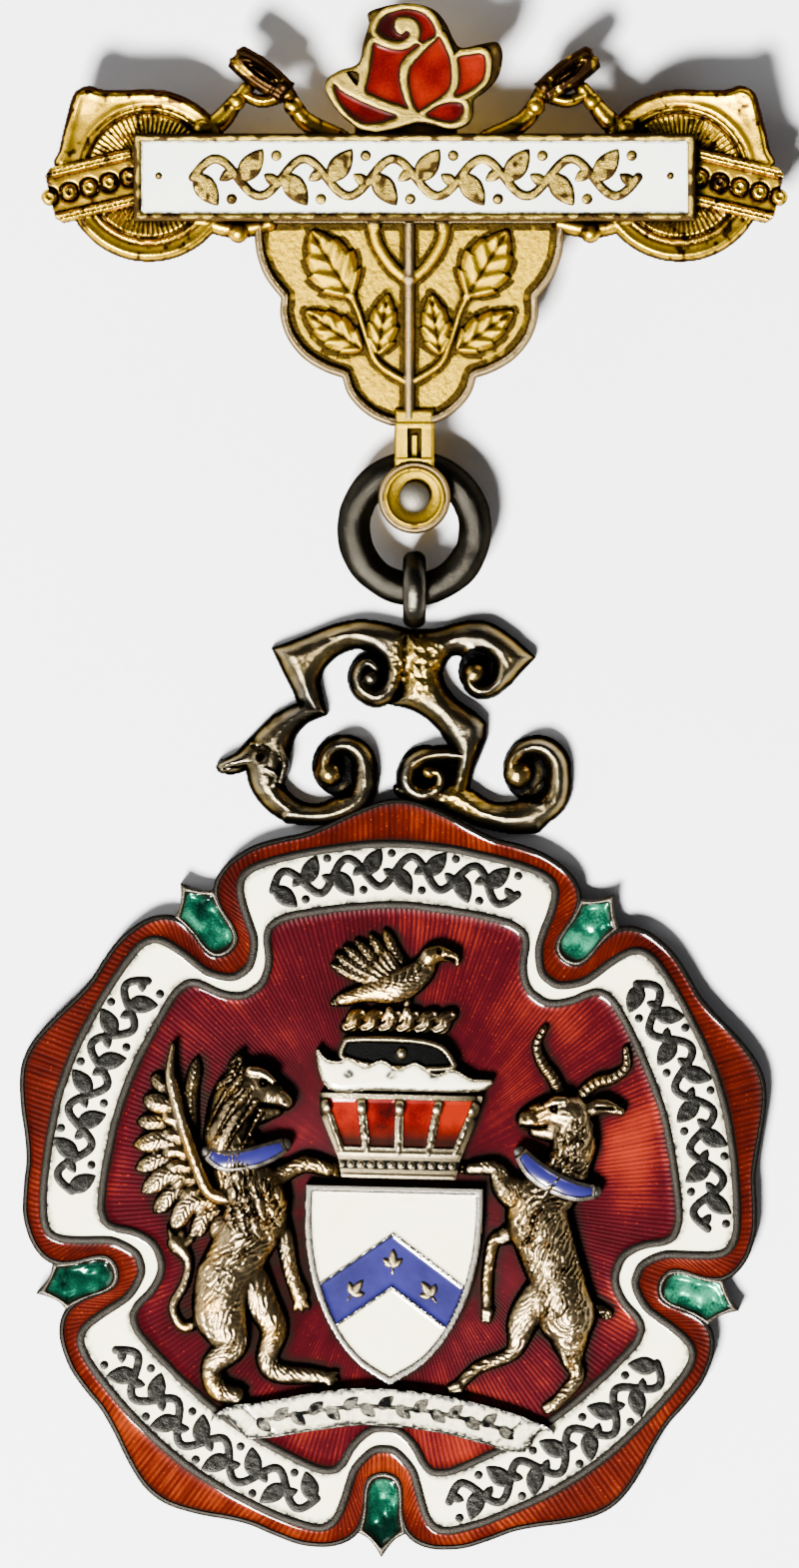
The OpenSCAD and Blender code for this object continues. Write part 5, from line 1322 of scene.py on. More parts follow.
def build_shield():
    outer, cell = (both_sides([table[:2], table[1:]]) * PU + [PU, 0] for table in (SHIELD, SHIELD_CELL))
    grid = sheet(PU, -22.6, -51.6, 24.6, 1.6, 0.07)
    S, C = grid.distance([outer], 0.8), grid.distance([cell], 0.8)
    low = CHEVRON_PEAK - CHEVRON_W
    band = chevron_field(grid, CHEVRON_PEAK, low)
    border = chevron_field(grid, CHEVRON_PEAK + CHEVRON_EDGE, low - CHEVRON_EDGE)
    walls = np.maximum(np.minimum(S, -C), np.minimum(np.minimum(border, -band), C))
    Z = np.where(walls > 0, 2.02 + 0.05 * round_profile(unit(walls / 0.10)), 1.82)
    cast_painted_shadow(grid, S)
    relief_solid("shield_body", grid, S, Z, FIGURE_BASE, "silver", ["shield"], sharp=60)
    for name, F, top, colour, dirt_and_shade in (("shield_field", np.minimum(C, -border), 2.0, "white", 0.6),
                                       ("shield_chevron", np.minimum(C, band), 1.98, "blue", 0.8)):
        glass(name, grid, F, top + 0.05 * verge(F, 0.15) ** 2, 1.8, colour, colour + "_enamel",
              ["shield_" + colour], verge(F, 0.08) * dirt_and_shade)
    fine = sheet(PU, -20, -44, 22, -11, 0.045)
    leaves = fine.zeros(-1.0)
    for dx, side in ((0, 0), (-10.2, -1), (10.2, 1)):
        y = CHEVRON_PEAK - CHEVRON_W / 2 - 0.6 - CHEVRON_SLOPE * abs(dx)
        leaf = shield_leaf(fine, ((1 + dx) * PU, (y - 1.0) * PU), 90 + 36 * side, 4.5 * PU)
        leaves = np.maximum(leaves, leaf)
    relief_solid("shield_leaves", fine, leaves, 2.03 + 0.10 * round_profile(unit(leaves / 0.14)), 1.9,
                 "pale_gilt", ["shield"], sharp=60)


def post_at(i, y):
    """Where the middle of a post is at height y."""
    return POSTS[i][0] + (POSTS[i][1] - POSTS[i][0]) * (y - 8.4) / (21.2 - 8.4)


def build_coronet():
    grid = sheet(PU, -20.5, 1.2, 24.6, 26, 0.052)
    S = grid.distance([np.array(CORONET) * PU], 0.7)
    cells = [np.array([[post_at(i, 22.6) + 1.1, 22.6], [post_at(i + 1, 22.6) - 1.1, 22.6],
                       [post_at(i + 1, 10.4) - 1.0, 10.4], [post_at(i, 10.4) + 1.0, 10.4]]) * PU
             for i in range(4)]
    C = grid.distance(cells, 0.7)
    arch = 0.42 * dome((grid.U - 1.5) / 20)
    Z = 1.78 + arch + 0.10 * round_profile(unit(np.minimum(S, -C) / 0.14))
    for y, w in ((3.2, 0.6), (8.9, 0.8)):
        Z += 0.10 * bell(grid.V - y, w)
    course = np.exp(-((grid.V - 6.0) / 1.5) ** 4)
    Z -= 0.16 * course
    pellet = np.hypot(np.mod(grid.U + 1.3, 2.6) - 1.3, grid.V - 6.0)
    Z += 0.30 * dome(pellet)
    for i in range(5):
        foot, head = (np.array([post_at(i, y), y]) * PU for y in (9.0, 20.6))
        t = grid.limb([[*foot, 0.13], [*head, 0.12]], 4)[0]
        Z = np.maximum(Z, 1.86 + arch + 0.16 * unit(round_profile(t)) * (t > 0)
                       + 0.05 * grid.grain(0.14, 7, 30) * (t > 0))
        d = grid.off(post_at(i, 20.6), 20.6) / (2.1 * PU)
        Z = np.maximum(Z, 1.94 + arch + 0.40 * dome(d) * (d < 1))
    Z = np.where(C > 0, 1.70, Z)
    cast_painted_shadow(grid, S)
    relief_solid("coronet_body", grid, S, Z, FIGURE_BASE, "pale_gilt", ["coronet"],
                 attributes={"patina_and_shade": np.where(pellet < 0.9, 0.3, 0.95) * course}, sharp=60)
    for i, cell in enumerate(cells):
        F = grid.distance([cell], 0.5) + 0.015
        # Dirt along the cell walls, and darker towards the bottom of each cell.
        glass(f"coronet_glass_{i + 1}", grid, F, 1.74 + arch + 0.05 * verge(F, 0.15), 1.6, "bright_red",
              "bright_red_enamel", [f"coronet_enamel_{i + 1}"],
              np.clip(0.8 * verge(F, 0.07) + (17.0 - grid.V) / 5.0, 0, 0.94),
              glow=0.1 + 0.3 * grid.grain(0.5, 5))


def build_cap():
    grid = sheet(PU, -21.6, 23, 27, 40, 0.055)
    B, T = (grid.distance([smooth_loop(table, PU, 4)], 0.8) for table in (BRIM, CAP))
    S = np.maximum(B, T)
    arch = 0.40 * dome((grid.U - 2) / 24)
    rim = unit(np.minimum(T, 0.30 - T) / 0.15)
    ball = np.hypot(grid.U - 2.0, grid.V - 34.6) / 1.6
    Z = np.where(T > 0.30, 1.66 + arch + 0.30 * dome(ball), 1.72 + arch + 0.26 * round_profile(rim))
    Z = np.where(B > 0, 1.84 + arch + 0.06 * (B < 0.12), Z)
    patina_and_shade = np.where((T > 0.26) & (B < 0) & (ball > 1), 1.0, 0.0)
    cast_painted_shadow(grid, S)
    relief_solid("cap_body", grid, S, Z, FIGURE_BASE, "pale_gilt", ["cap"],
                 attributes={"patina_and_shade": patina_and_shade}, sharp=60)
    W = B - 0.10
    spots = sum(0.95 * np.exp(-grid.oval(x, 29, 1.5, 1.2) ** 2) for x in (-11.5, -0.5, 10.5))
    glass("cap_brim", grid, W, 1.92 + arch + 0.10 * unit(W / 0.3) ** 0.5, 1.7, "white", "white_enamel",
          ["brim_enamel"], unit(verge(W, 0.14) * 0.8 + spots))


def build_banner():
    rows = np.array(BANNER) * PU
    grid = Relief(rows[:, :2].min(0) - 1.2, rows[:, :2].max(0) + 1.2, 0.07)
    t, along, side, radius = grid.limb(np.column_stack([rows[:, :2], rows[:, 2] / 2]), 8)
    total = lengths(spline(rows))[-1]
    half = np.maximum(radius, 0.80 * (np.minimum(along, total - along) < 1.5))
    cut = np.minimum(along - 0.95 * (0.8 - side), total - along - 0.75 * (0.8 - side)) / 1.35
    S = np.where(t > -8, np.minimum(half - np.abs(side), cut), -1)
    arch = 0.28 * np.sin(math.pi * unit(along / total))
    inner = S - 0.13
    Z = 1.80 + arch + 0.05 * round_profile(unit(np.minimum(S, -inner) / 0.12))
    Z = np.where(inner > 0, 1.72 + arch, Z)
    relief_solid("scroll_body", grid, S, Z, 1.30, "bronze", ["banner"],
                 attributes={"patina_and_shade": 0.8 * unit(1.2 - S / 0.12)}, sharp=60)
    E = inner + 0.015
    fold = bell(cut - 0.95, 0.07)
    # Dirt along the edges and all over, with painted shade along the fold at each end.
    glass("scroll_enamel", grid, E, 1.84 + arch + 0.03 * verge(E, 0.15) - 0.06 * fold, 1.6, "white",
          "white_enamel", ["banner_enamel"], unit(verge(E, 0.22) * 0.8 + 0.28 + 0.7 * fold))
    fine = sheet(PU, -33, -65.6, 33, -51, 0.045)
    leaves = fine.zeros(-1.0)
    path = spline(np.array(BANNER)[:, :2], steps=12) * PU
    s = lengths(path)
    for k in range(15):
        at = s[-1] * (0.13 + 0.052 * k)
        p = np.array([np.interp(at, s, path[:, 0]), np.interp(at, s, path[:, 1])])
        up = 1 if k % 2 else -1
        leaf = leaf_field(fine, p - [0.1, 0.10 * up], p + [0.60, 0.50 * up], 0.56)[0]
        leaves = np.maximum(leaves, leaf)
    stem = fine.distance([path[(s > s[-1] * 0.11) & (s < s[-1] * 0.9)]], 0.5, closed=False)
    leaves = np.maximum(leaves, 0.09 + stem)
    lift = 0.28 * np.sin(math.pi * unit((fine.U + 43.6) / 85.6))
    patina_and_shade = unit(0.50 + 0.45 * verge(leaves, 0.06) + 0.6 * fine.grain(0.3, 75, 20))
    relief_solid("scroll_leaves", fine, leaves, 1.90 + lift, 1.7, "bronze", ["banner"],
                 attributes={"patina_and_shade": patina_and_shade}, sharp=60)


# ---------------------------------------------------------------- vine ornament for the bands
def vine(grid, path, height, stem, every):
    """Wavy stem with a curled leaf and a bud in each bend, as one flat field; path is a centre line."""
    s = lengths(path)
    n = normals(path, closed=False)
    count = max(int(round(s[-1] / every)), 2)
    phase = s / s[-1] * count * math.pi
    line = path + n * (0.34 * height * np.sin(phase))[:, None]
    best = stem / 2 + grid.distance([line], 0.6, closed=False)
    t = np.gradient(path, axis=0)
    t /= np.maximum(np.linalg.norm(t, axis=1, keepdims=True), 1e-9)
    for k in range(count):
        j = int(np.argmin(np.abs(s - s[-1] * (k + 0.5) / count)))
        up = 1.0 if math.sin(phase[j]) > 0 else -1.0
        at = lambda a, b: path[j] + every * a * t[j] + height * b * up * n[j]
        for base, tip, width in (((-0.44, 0.06), (0.06, -0.52), 0.42),
                                 ((0.42, 0.12), (0.08, -0.06), 0.22)):
            best = np.maximum(best, leaf_field(grid, at(*base), at(*tip), height * width)[0])
        ball = at(0.36, -0.40)
        best = np.maximum(best, 0.10 * height - np.hypot(grid.X - ball[0], grid.Y - ball[1]))
    return np.clip(best, -1, 1)


def build_band_ornament():
    """Dark vine in the five white bands, about as tall as the lettering it stands in for."""
    for i, a0, a1 in ((0, -23, 22), (1, -23, 24), (2, -22, 24), (3, -24, 22), (4, -20, 21)):
        angles = np.linspace(SECTOR * i + a0, SECTOR * i + a1, 90)
        path = ring_point(angles, (81.2 + 0.8 * ((angles - SECTOR * i) / 24) ** 2) * PU)
        grid = Relief(path.min(0) - 1.5, path.max(0) + 1.5, 0.064)
        F = vine(grid, path, 2.15, 0.42, 1.60)
        Z = ENAMEL_Z + 0.045 + 0.03 * unit(F / 0.1) + 0.008 * grid.grain(0.2, 6, 40)
        relief_solid(f"band_vine_{i + 1}", grid, F, Z, 1.1, "niello",
                     ["pendant_frame"], sharp=60)


# ---------------------------------------------------------------- hanger, loop and ring
def tube(d, radius, foot, top):
    """Height of a rounded bar at distance d inside its edge."""
    q = unit(d / radius)
    return foot + (top - foot) * dome(1 - q)


def build_hanger():
    """Five pierced arms with curled ends and eyes, and the beast's head on the left one."""
    grid = sheet(HU, -58, -12.5, 47, 53, 0.069)
    S, Z = grid.zeros(-1.0), grid.zeros(0.35)
    gold, patina_and_shade = grid.zeros(), grid.zeros()
    for k, runs in enumerate(SCROLLS):
        d = grid.distance([outline(runs) * HU], 1.4)
        S = np.maximum(S, d)
        Z = raised(Z, tube(d, 0.86, 0.30, 1.62 + 0.03 * (k % 2)), d > 0)
    for rows, (x, y, r, ball_x, ball_y, ball, gilt, old) in zip(CURLS, EYES):
        t, _, _, width = grid.limb(np.array(rows) * HU, 5)
        disc = r * HU - grid.off(x, y)
        to_ball = grid.off(ball_x, ball_y)
        end = 1 - to_ball / (ball * HU)
        inside = disc > 0
        Z = np.where(inside, np.minimum(Z, 0.40), Z)
        Z = np.where(t > 0, smooth_max(Z, 0.30 + 1.30 * round_profile(t), 0.12), Z)
        Z = raised(Z, 0.80 + 0.88 * round_profile(end), end > 0)
        S = np.maximum(S, np.maximum(disc, np.minimum(t, 1) * width))
        gold = raised(gold, gilt * unit(1.5 - to_ball / (0.62 * r * HU)), inside)
        patina_and_shade = np.where(inside, old, patina_and_shade)
    for rows, top in zip(BEAST, (1.50, 1.78, 1.72, 1.84)):
        t, _, _, width = grid.limb(np.array(rows) * HU, 6)
        Z = np.where(t > 0, smooth_max(Z, 0.30 + (top - 0.30) * round_profile(t), 0.10), Z)
        S = np.maximum(S, np.minimum(t, 1) * width)
    eye = grid.off(-44.2, 11.6) / HU
    Z += 0.14 * bell(eye - 1.5, 0.5) - 0.26 * bell(eye, 0.8)
    mouth = grid.distance([np.array([[-56, 8.2], [-52, 9.0], [-48.4, 9.2]]) * HU], 0.6, closed=False)
    Z -= 0.22 * bell(mouth, 0.07)
    solder = np.exp(-grid.oval(1, 38, 7.5, 10) ** 2)
    lumps = 0.09 * grid.grain(0.2, 41, 30) + 0.05 * grid.grain(0.1, 42)
    Z += solder * (0.10 + lumps)
    foot = np.exp(-grid.oval(14, -1, 9, 7))
    Z += foot * lumps * 0.7
    gold = np.maximum(np.maximum(gold, 0.9 * solder), 0.75 * foot)
    wear = 0.25 + 0.25 * grid.grain(1.7, 43, 70)
    gold = unit(np.maximum(gold, wear * 0.45))
    Z += 0.02 * lattice_noise(grid.X + 11, grid.Y + 5, 0.6, 44) + 0.01 * grid.grain(0.18, 45)
    spots = np.clip(1.6 * lattice_noise(grid.X + 23, grid.Y + 17, 0.55, 46) - 0.35, 0, 0.55)
    # Painted shade darkens the arms along their edges and down their sides.
    patina_and_shade = np.maximum(np.maximum(patina_and_shade, spots), 0.85 * unit(1.15 - S / 0.16))
    relief_solid("scroll_hanger", grid, S, Z, 0.02, "bronze", ["pendant_frame"],
                 on_axis(HANGER_Y), {"gold": gold, "patina_and_shade": patina_and_shade}, sharp=55)


def torus(name, y, major, minor, flat, material, nodes, wear, squash=1.0):
    """A ring of round wire on the axis, that lies flat or stands across x."""
    m, k = 160, 36
    u, v = np.meshgrid(*(np.linspace(0, 2 * math.pi, count + 1)[:-1] for count in (m, k)), indexing="ij")
    r = minor + wear * (lattice_noise(3 * np.cos(u) + 9, 3 * np.sin(u) + 9, 0.8, 51)
                        + 0.6 * lattice_noise(2 * np.cos(v) + 9, 6 * np.sin(u) + 9, 0.7, 52))
    ring = major + r * np.cos(v)
    a, b, h = ring * np.cos(u), ring * np.sin(u), r * np.sin(v) * squash
    xyz = np.stack([a, b, h] if flat else [h, a, b], -1)
    verts = (xyz + [SHIFT[0] + AXIS_DX, SHIFT[1] + y, RING_Z]).reshape(-1, 3)
    piece(name, verts, [wrapped_quads(m, k)], material, nodes, None, 60)


def build_ring():
    torus("hanging_ring", RING_Y, RING_R, RING_WIRE / 2 - 0.03, True, "dark",
          ["suspension_ring"], 0.024)
    torus("hanger_loop", LOOP_Y, LOOP_R, LOOP_WIRE / 2, False, "bronze",
          ["pendant_frame"], 0.015, 1.2)


# ---------------------------------------------------------------- brooch
def build_end(side):
    """Hoop, horn, beaded strap, bud and knob at one end of the brooch."""
    x0, x1 = sorted((-side * 102, -side * 15))
    grid = sheet(BU, x0, -25, x1, 39, 0.062)
    X, Y = grid.X * side, grid.Y
    cx, cy = -HOOP_X * BU, HOOP_Y * BU
    dist = np.hypot(X - cx, Y - cy) / BU
    hoop = (HOOP_R - dist) * BU
    theta = np.arctan2(Y - cy, X - cx)
    H = grid.distance([smooth_loop(HORN, BU, 8) * [side, 1]], 0.9)
    S = np.maximum(hoop, H)
    low = 0.18
    Z = low + tube(S, 0.34, 0.0, 0.56)
    corner = np.exp(-(((X / BU + 88.5) / 5.5) ** 2 + ((Y / BU - 22) / 4.0) ** 2))
    Z += 0.16 * corner + 0.08 * bell(S / BU - 1.8, 1.2)
    for r, w, depth in ((20.8, 0.9, 0.03), (18.5, 0.35, 0.10), (16.9, 0.6, 0.22)):
        Z -= depth * bell(dist - r, w)
    ribs = 0.5 + 0.5 * np.cos(theta * 70)
    ribbed = unit((RIB_R - 0.6 - dist) / 0.8) * unit((dist - 8) / 1.5)
    bowl = 0.36 + 0.16 * ((dist - 9) / 8) ** 2
    Z = Z * (1 - ribbed) + ribbed * (low + bowl + 0.09 * ribs)
    tilt = math.radians(STRAP_TILT)
    ox, oy = (-100 + BEAD_R) * BU, -5 * BU
    u = ((X - ox) * math.cos(tilt) + (Y - oy) * math.sin(tilt)) / BU
    v = (-(X - ox) * math.sin(tilt) + (Y - oy) * math.cos(tilt)) / BU
    to_bead = np.hypot(np.mod(u + BEAD_PITCH / 2, BEAD_PITCH) - BEAD_PITCH / 2, v) / BEAD_R
    strap = np.minimum(np.minimum(u - 0.2, STRAP_LEN - u), STRAP_HALF - np.abs(v))
    strap = np.minimum(strap, (u + (STRAP_HALF - np.abs(v)) - 2.0) / 1.41)
    on = strap > 0
    beaded = on & (np.abs(v) < 4.0)
    rail = np.abs(np.abs(v) - (STRAP_HALF - RAIL_W / 2)) / (RAIL_W / 2)
    z = np.where(rail < 1, 0.62 + 0.32 * dome(rail), 0.56)
    z = z - 0.12 * bell(np.abs(v) - (STRAP_HALF - RAIL_W / 2), 0.32)
    Z = np.where(on, z + 0.05, Z)
    S = np.maximum(S, strap * BU)
    for i in range(5):
        d = np.hypot(u - i * BEAD_PITCH, v) / BEAD_R
        bead = 0.66 + 0.30 * dome(d) - 0.16 * bell(d, 0.34)
        Z = np.where(d < 1, np.maximum(Z, bead), Z - 0.16 * bell(d - 1.12, 0.16) * on)
        S = np.maximum(S, (1 - d) * BEAD_R * BU)
    for rows in BUD_STEMS:
        t, _, _, r = grid.limb(np.array(rows) * [side, 1, 0.5] * BU, 6)
        Z = raised(Z, 0.16 + 0.62 * round_profile(t), t > 0)
        S = np.maximum(S, np.minimum(t, 1) * r)
    root, tip = (np.array(p) * [side, 1] * BU for p in BUD)
    reach = np.hypot(*(tip - root))
    way = (tip - root) / reach
    u = (grid.X - root[0]) * way[0] + (grid.Y - root[1]) * way[1]
    v = (grid.X - root[0]) * way[1] - (grid.Y - root[1]) * way[0]
    bud = np.minimum(0.60 + 0.13 * np.sin(math.pi * unit(u / reach)) - np.abs(v),
                     np.minimum(u + 0.25, reach - 0.12 * np.abs(np.abs(v) - 0.25) / 0.25 - u))
    heart = np.hypot((u - 0.44 * reach) / (0.34 * reach), v / 0.22)
    z = 0.42 + tube(bud, 0.26, 0.0, 0.56) - 0.24 * unit((1.0 - heart) / 0.25)
    z += 0.30 * dome(heart / 0.55) + 0.05 * bell(heart - 1.15, 0.15)
    z -= 0.07 * bell(u - 0.14 * reach, 0.07)
    Z = raised(Z, z, bud > 0)
    S = np.maximum(S, bud)
    aged = grid.grain(0.30, 62, 31)
    petals = (bud > 0) * unit(0.90 + 0.45 * aged)
    for bx, by, br, h in ((-32.6, 19.4, 2.4, 0.40), (-35.0, 24.6, 2.4, 0.5), (-47.6, 20.6, 2.2, 0.35),
                          (*KNOB_AT, KNOB_R, 0.42), (-57.0, 13.4, 2.3, 0.36)):
        d = np.hypot(X - bx * BU, Y - by * BU) / (br * BU)
        Z = raised(Z, 0.66 + h * dome(d), d < 1)
        S = np.maximum(S, (1 - d) * br * BU)
    Z += 0.012 * grid.grain(0.45, 61, 40)
    fleck = grid.grain(0.22, 63, 61) + 0.6 * grid.grain(0.55, 64)
    high = unit((Y / BU - 16) / 7) * unit(1.5 - S / 0.55)
    patina_and_shade = np.maximum((0.62 + 0.50 * fleck) * corner, (0.60 + 0.50 * fleck) * high)
    edge = 0.10 + 0.20 * unit(Y / BU / 20)
    patina_and_shade = np.maximum(patina_and_shade, (0.95 + 0.2 * fleck) * unit(1.5 - S / edge))
    patina_and_shade *= unit(np.maximum(hoop, H) / 0.06)
    patina_and_shade = np.maximum(patina_and_shade, 0.38 + 0.42 * fleck)
    patina_and_shade = np.maximum(patina_and_shade, 0.55 * bell(dist - 16.9, 0.5) * (1 - on))
    patina_and_shade = np.maximum(patina_and_shade, 0.62 * beaded * (np.abs(to_bead - 0.98) < 0.24))
    patina_and_shade = np.maximum(patina_and_shade, (0.50 + 0.4 * fleck) * beaded * (to_bead < 1))
    patina_and_shade = unit(np.maximum(patina_and_shade, petals))
    relief_solid("left_end" if side > 0 else "right_end", grid, S, FRAME_Z + np.minimum(Z, 1.22),
                 FRAME_Z,
                 "gilt", ["brooch_frame"], on_axis(BROOCH_Y), {"patina_and_shade": patina_and_shade}, sharp=58)


def build_plaque():
    """The lobed plaque with its rim, stem, twigs, leaves and beads on a grained ground."""
    grid = sheet(BU, -44.5, -68, 42, -8, 0.064)
    X = grid.X - PLAQUE_X * BU
    side = open_side(LOBES)
    loop = np.concatenate([side, mirror_x(side[::-1])]) * BU + [PLAQUE_X * BU, 0]
    S = grid.distance([loop], 1.0)
    rim_in = S - 2.1 * BU
    Z = 0.42 + 0.34 * dome((S / BU - 1.15) / 1.15) * (S < 2.3 * BU)
    Z -= 0.07 * bell(S / BU - 1.35, 0.28)
    grain = grid.grain(0.16, 71, 50) + 0.6 * grid.grain(0.10, 72)
    Z = np.where(rim_in > 0, 0.36 + 0.014 * grain, Z)
    stem = np.abs(X) / (1.45 * BU)
    Z = raised(Z, 0.50 + 0.30 * dome(stem), (stem < 1) & (rim_in > -0.1))
    proud = (S < 2.2 * BU) | (stem < 1)
    moat = np.maximum(unit((4.3 - S / BU) / 0.4), unit((2.1 - stem) / 0.3))
    for flip in (1, -1):
        for rows in TWIGS:
            p = np.array(rows) * [flip, 1, 0.5] * BU + [PLAQUE_X * BU, 0, 0]
            t, _, _, r = grid.limb(p, 6)
            Z = raised(Z, 0.46 + 0.26 * round_profile(t), (t > 0) & (S > 0))
            proud |= t > 0
            moat = np.maximum(moat, unit((0.26 + t * r) / 0.06) * (t > -1.4))
        for row in LEAVES:
            base, tip = (np.array([flip * x + PLAQUE_X, y]) * BU for x, y in (row[:2], row[2:4]))
            wide = row[4] * BU * 0.98
            F, q, across, half = leaf_field(grid, base, tip, wide, 4.0)
            rise = 0.52 + 0.20 * unit(F / 0.25) ** 0.7
            curl = 0.08 * np.sin(math.pi * unit(np.abs(across) / np.maximum(half, 0.05)))
            ribs = 0.05 * np.cos(2 * math.pi * (q * 4.0 - 0.55 * np.abs(across) / wide * 4.0))
            z = rise + curl - 0.10 * bell(across, 0.06) + ribs * unit(F / 0.12)
            Z = raised(Z, z, (F > 0) & (S > 0.1))
            proud |= F > 0
            moat = np.maximum(moat, unit((0.36 + F) / 0.08) * (S > 2.2 * BU))
    for x, y, r in ((-9.4, -12.4, 2.0), (8.6, -12.4, 2.0), (0.0, -27.0, 1.9), (-15.6, -31.4, 1.5),
                    (15.6, -31.4, 1.5)):
        d = np.hypot(X - x * BU, grid.Y - y * BU) / (r * BU)
        Z = raised(Z, 0.60 + 0.25 * dome(d), d < 1)
    aged = grid.grain(0.30, 73, 15)
    patina_and_shade = np.where(proud, 0.10 + 0.25 * aged, moat * (0.85 + 0.25 * aged))
    patina_and_shade = np.maximum(patina_and_shade, 0.75 * verge(S, 0.14))
    tan = np.where((S < 2.3 * BU) | (stem < 1.05), 0.85, 0.0)
    relief_solid("leaf_plaque", grid, S, FRAME_Z + Z, FRAME_Z, "satin", ["brooch_frame"],
                 on_axis(BROOCH_Y), {"patina_and_shade": unit(patina_and_shade), "gold": tan}, sharp=58)


def build_neck():
    """Neck with its slot, the round boss over the ring, the rivet, and the strap behind the ring."""
    grid = sheet(1, -1.9, -1.9, 1.9, 4.4, 0.05)
    across, d = np.abs(grid.X), np.hypot(grid.X, grid.Y)
    boss = 1.74 - d
    neck = np.minimum(0.96 - across, np.minimum(grid.Y + 0.2, 4.25 - grid.Y))
    Z = np.where(boss > 0, 0.44 + tube(boss, 0.22, 0.0, 0.34), 0.44 + tube(neck, 0.2, 0.0, 0.30))
    dish = 0.10 * bell(d - 1.34, 0.07) - 0.07 * bell(d - 1.50, 0.05)
    dish -= 0.24 * unit((1.30 - d) / 0.55) ** 0.8
    Z = np.where(boss > 0, Z + dish, Z)
    slot = np.minimum(0.34 - across, np.minimum(grid.Y - 1.9, 3.3 - grid.Y))
    Z = np.where(slot > 0, 0.16 + 0.30 * (across < 0.13) * (grid.Y < 3.0), Z)
    for y in (1.78, 3.46):
        Z = np.where((boss < 0) & (np.abs(grid.Y - y) < 0.12), Z + 0.07, Z)
    place = on_axis(BOSS_Y)
    aged = 0.45 * unit((d - 1.45) / 0.1) + 0.25 * unit((1.15 - d) / 0.3)
    patina_and_shade = np.where(boss > 0, aged, 0.85 * (slot > 0) * (across > 0.13))
    relief_solid("boss_and_neck", grid, np.maximum(boss, neck), FRAME_Z + Z, FRAME_Z, "satin",
                 ["brooch_frame"], place,
                 {"patina_and_shade": patina_and_shade, "gold": np.where((d > 1.46) & (boss > 0), 0.8, 0.0)}, sharp=58)
    head = sheet(1, -0.8, -0.8, 0.8, 0.8, 0.05)
    r = np.hypot(head.X, head.Y)
    relief_solid("rivet_head", head, 0.75 - r, FRAME_TOP - 0.10 + 0.52 * dome(r / 0.80),
                 FRAME_TOP - 0.40,
                 "rivet", ["boss_rivet"], place, sharp=60)
    circle = ring_point(np.linspace(0, 360, 49)[:-1], 1.0)
    prism("rivet_shank", circle * 0.5, STRAP_Z, FRAME_TOP, "silver", ["boss_rivet"], place,
          0.04)
    joint = 3.44 - (RING_Y + RING_R + RING_WIRE / 2 + 0.13 - BOSS_Y)
    for name, loop, low, high in (
            ("strap_end", circle * 0.96, STRAP_Z, STRAP_Z + 0.55),
            ("strap_back", dense_box(-0.94, 0.1, 0.94, 3.42), STRAP_Z + 0.02, STRAP_Z + 0.53),
            ("strap_joint", dense_box(-0.93, 3.44 - joint, 0.93, 3.43), STRAP_Z + 0.04, FRAME_Z + 0.05)):
        prism(name, loop, low, high, "gilt", ["brooch_frame"], place, 0.05)


def dense_box(x0, y0, x1, y1):
    """Clockwise rectangle with rounded corners."""
    r = 0.06
    corners = ((x0 + r, y1 - r, 180), (x1 - r, y1 - r, 90), (x1 - r, y0 + r, 0), (x0 + r, y0 + r, -90))
    return np.array([[x, y] + r * heading(start - 30 * k) for x, y, start in corners for k in range(4)])


def build_bar():
    """The name bar, its enamel, the vine on it and the beam behind it."""
    place = on_axis(BROOCH_Y)
    w, h, rim = 13.45, 2.09, 0.38
    grid, flat = (sheet(1, -w - 0.1, -h - 0.1, w + 0.1, h + 0.1, step) for step in (0.08, 0.15))
    S, E = (np.minimum(w - np.abs(g.X), h - np.abs(g.Y)) for g in (grid, flat))
    inner = S - rim
    Z = BAR_TOP - 0.10 + 0.09 * round_profile(unit(np.minimum(S, -inner) / 0.16))
    Z += 0.012 * grid.grain(0.8, 81, 40)
    Z = np.where(inner > 0.03, BAR_TOP - 0.32, Z)
    patina_and_shade = unit(0.95 * unit(1.4 - S / 0.13) + 0.40 + 0.6 * grid.grain(0.35, 84, 47))
    relief_solid("bar_body", grid, S, Z, BAR_Z, "worn", ["name_bar"], place,
                 {"patina_and_shade": patina_and_shade}, sharp=50)
    E = E - rim + 0.02
    top = BAR_TOP - 0.10 + 0.03 * verge(E, 0.2) + 0.01 * flat.grain(2.4, 82)
    glass("bar_enamel", flat, E, top, BAR_TOP - 0.4, "bar_white", "white_enamel", ["name_bar_enamel"],
          0.9 * verge(E, 0.07), place)
    fine = sheet(1, -12.6, -1.5, 12.6, 1.5, 0.055)
    path = np.stack([np.linspace(-10.6, 10.7, 260), np.full(260, -0.02)], 1)
    F = vine(fine, path, 2.6, 0.46, 2.15)
    for x in (-12.25, 12.25):
        F = np.maximum(F, 0.17 - fine.off(x, 0.05))
    Z = BAR_TOP - 0.075 + 0.05 * unit(F / 0.12) + 0.012 * fine.grain(0.25, 83, 9)
    patina_and_shade = unit(0.9 * unit(1.2 - F / 0.12) + 0.30 + 0.7 * fine.grain(0.30, 85, 27))
    relief_solid("bar_vine", fine, F, Z, BAR_TOP - 0.3, "worn", ["name_bar"], place,
                 {"patina_and_shade": patina_and_shade}, sharp=60)
    prism("beam", dense_box(-13.3, -1.95, 13.3, 1.95), FRAME_Z + 0.02, BAR_Z + 0.02, "gilt",
          ["brooch_frame"], place, 0.06)


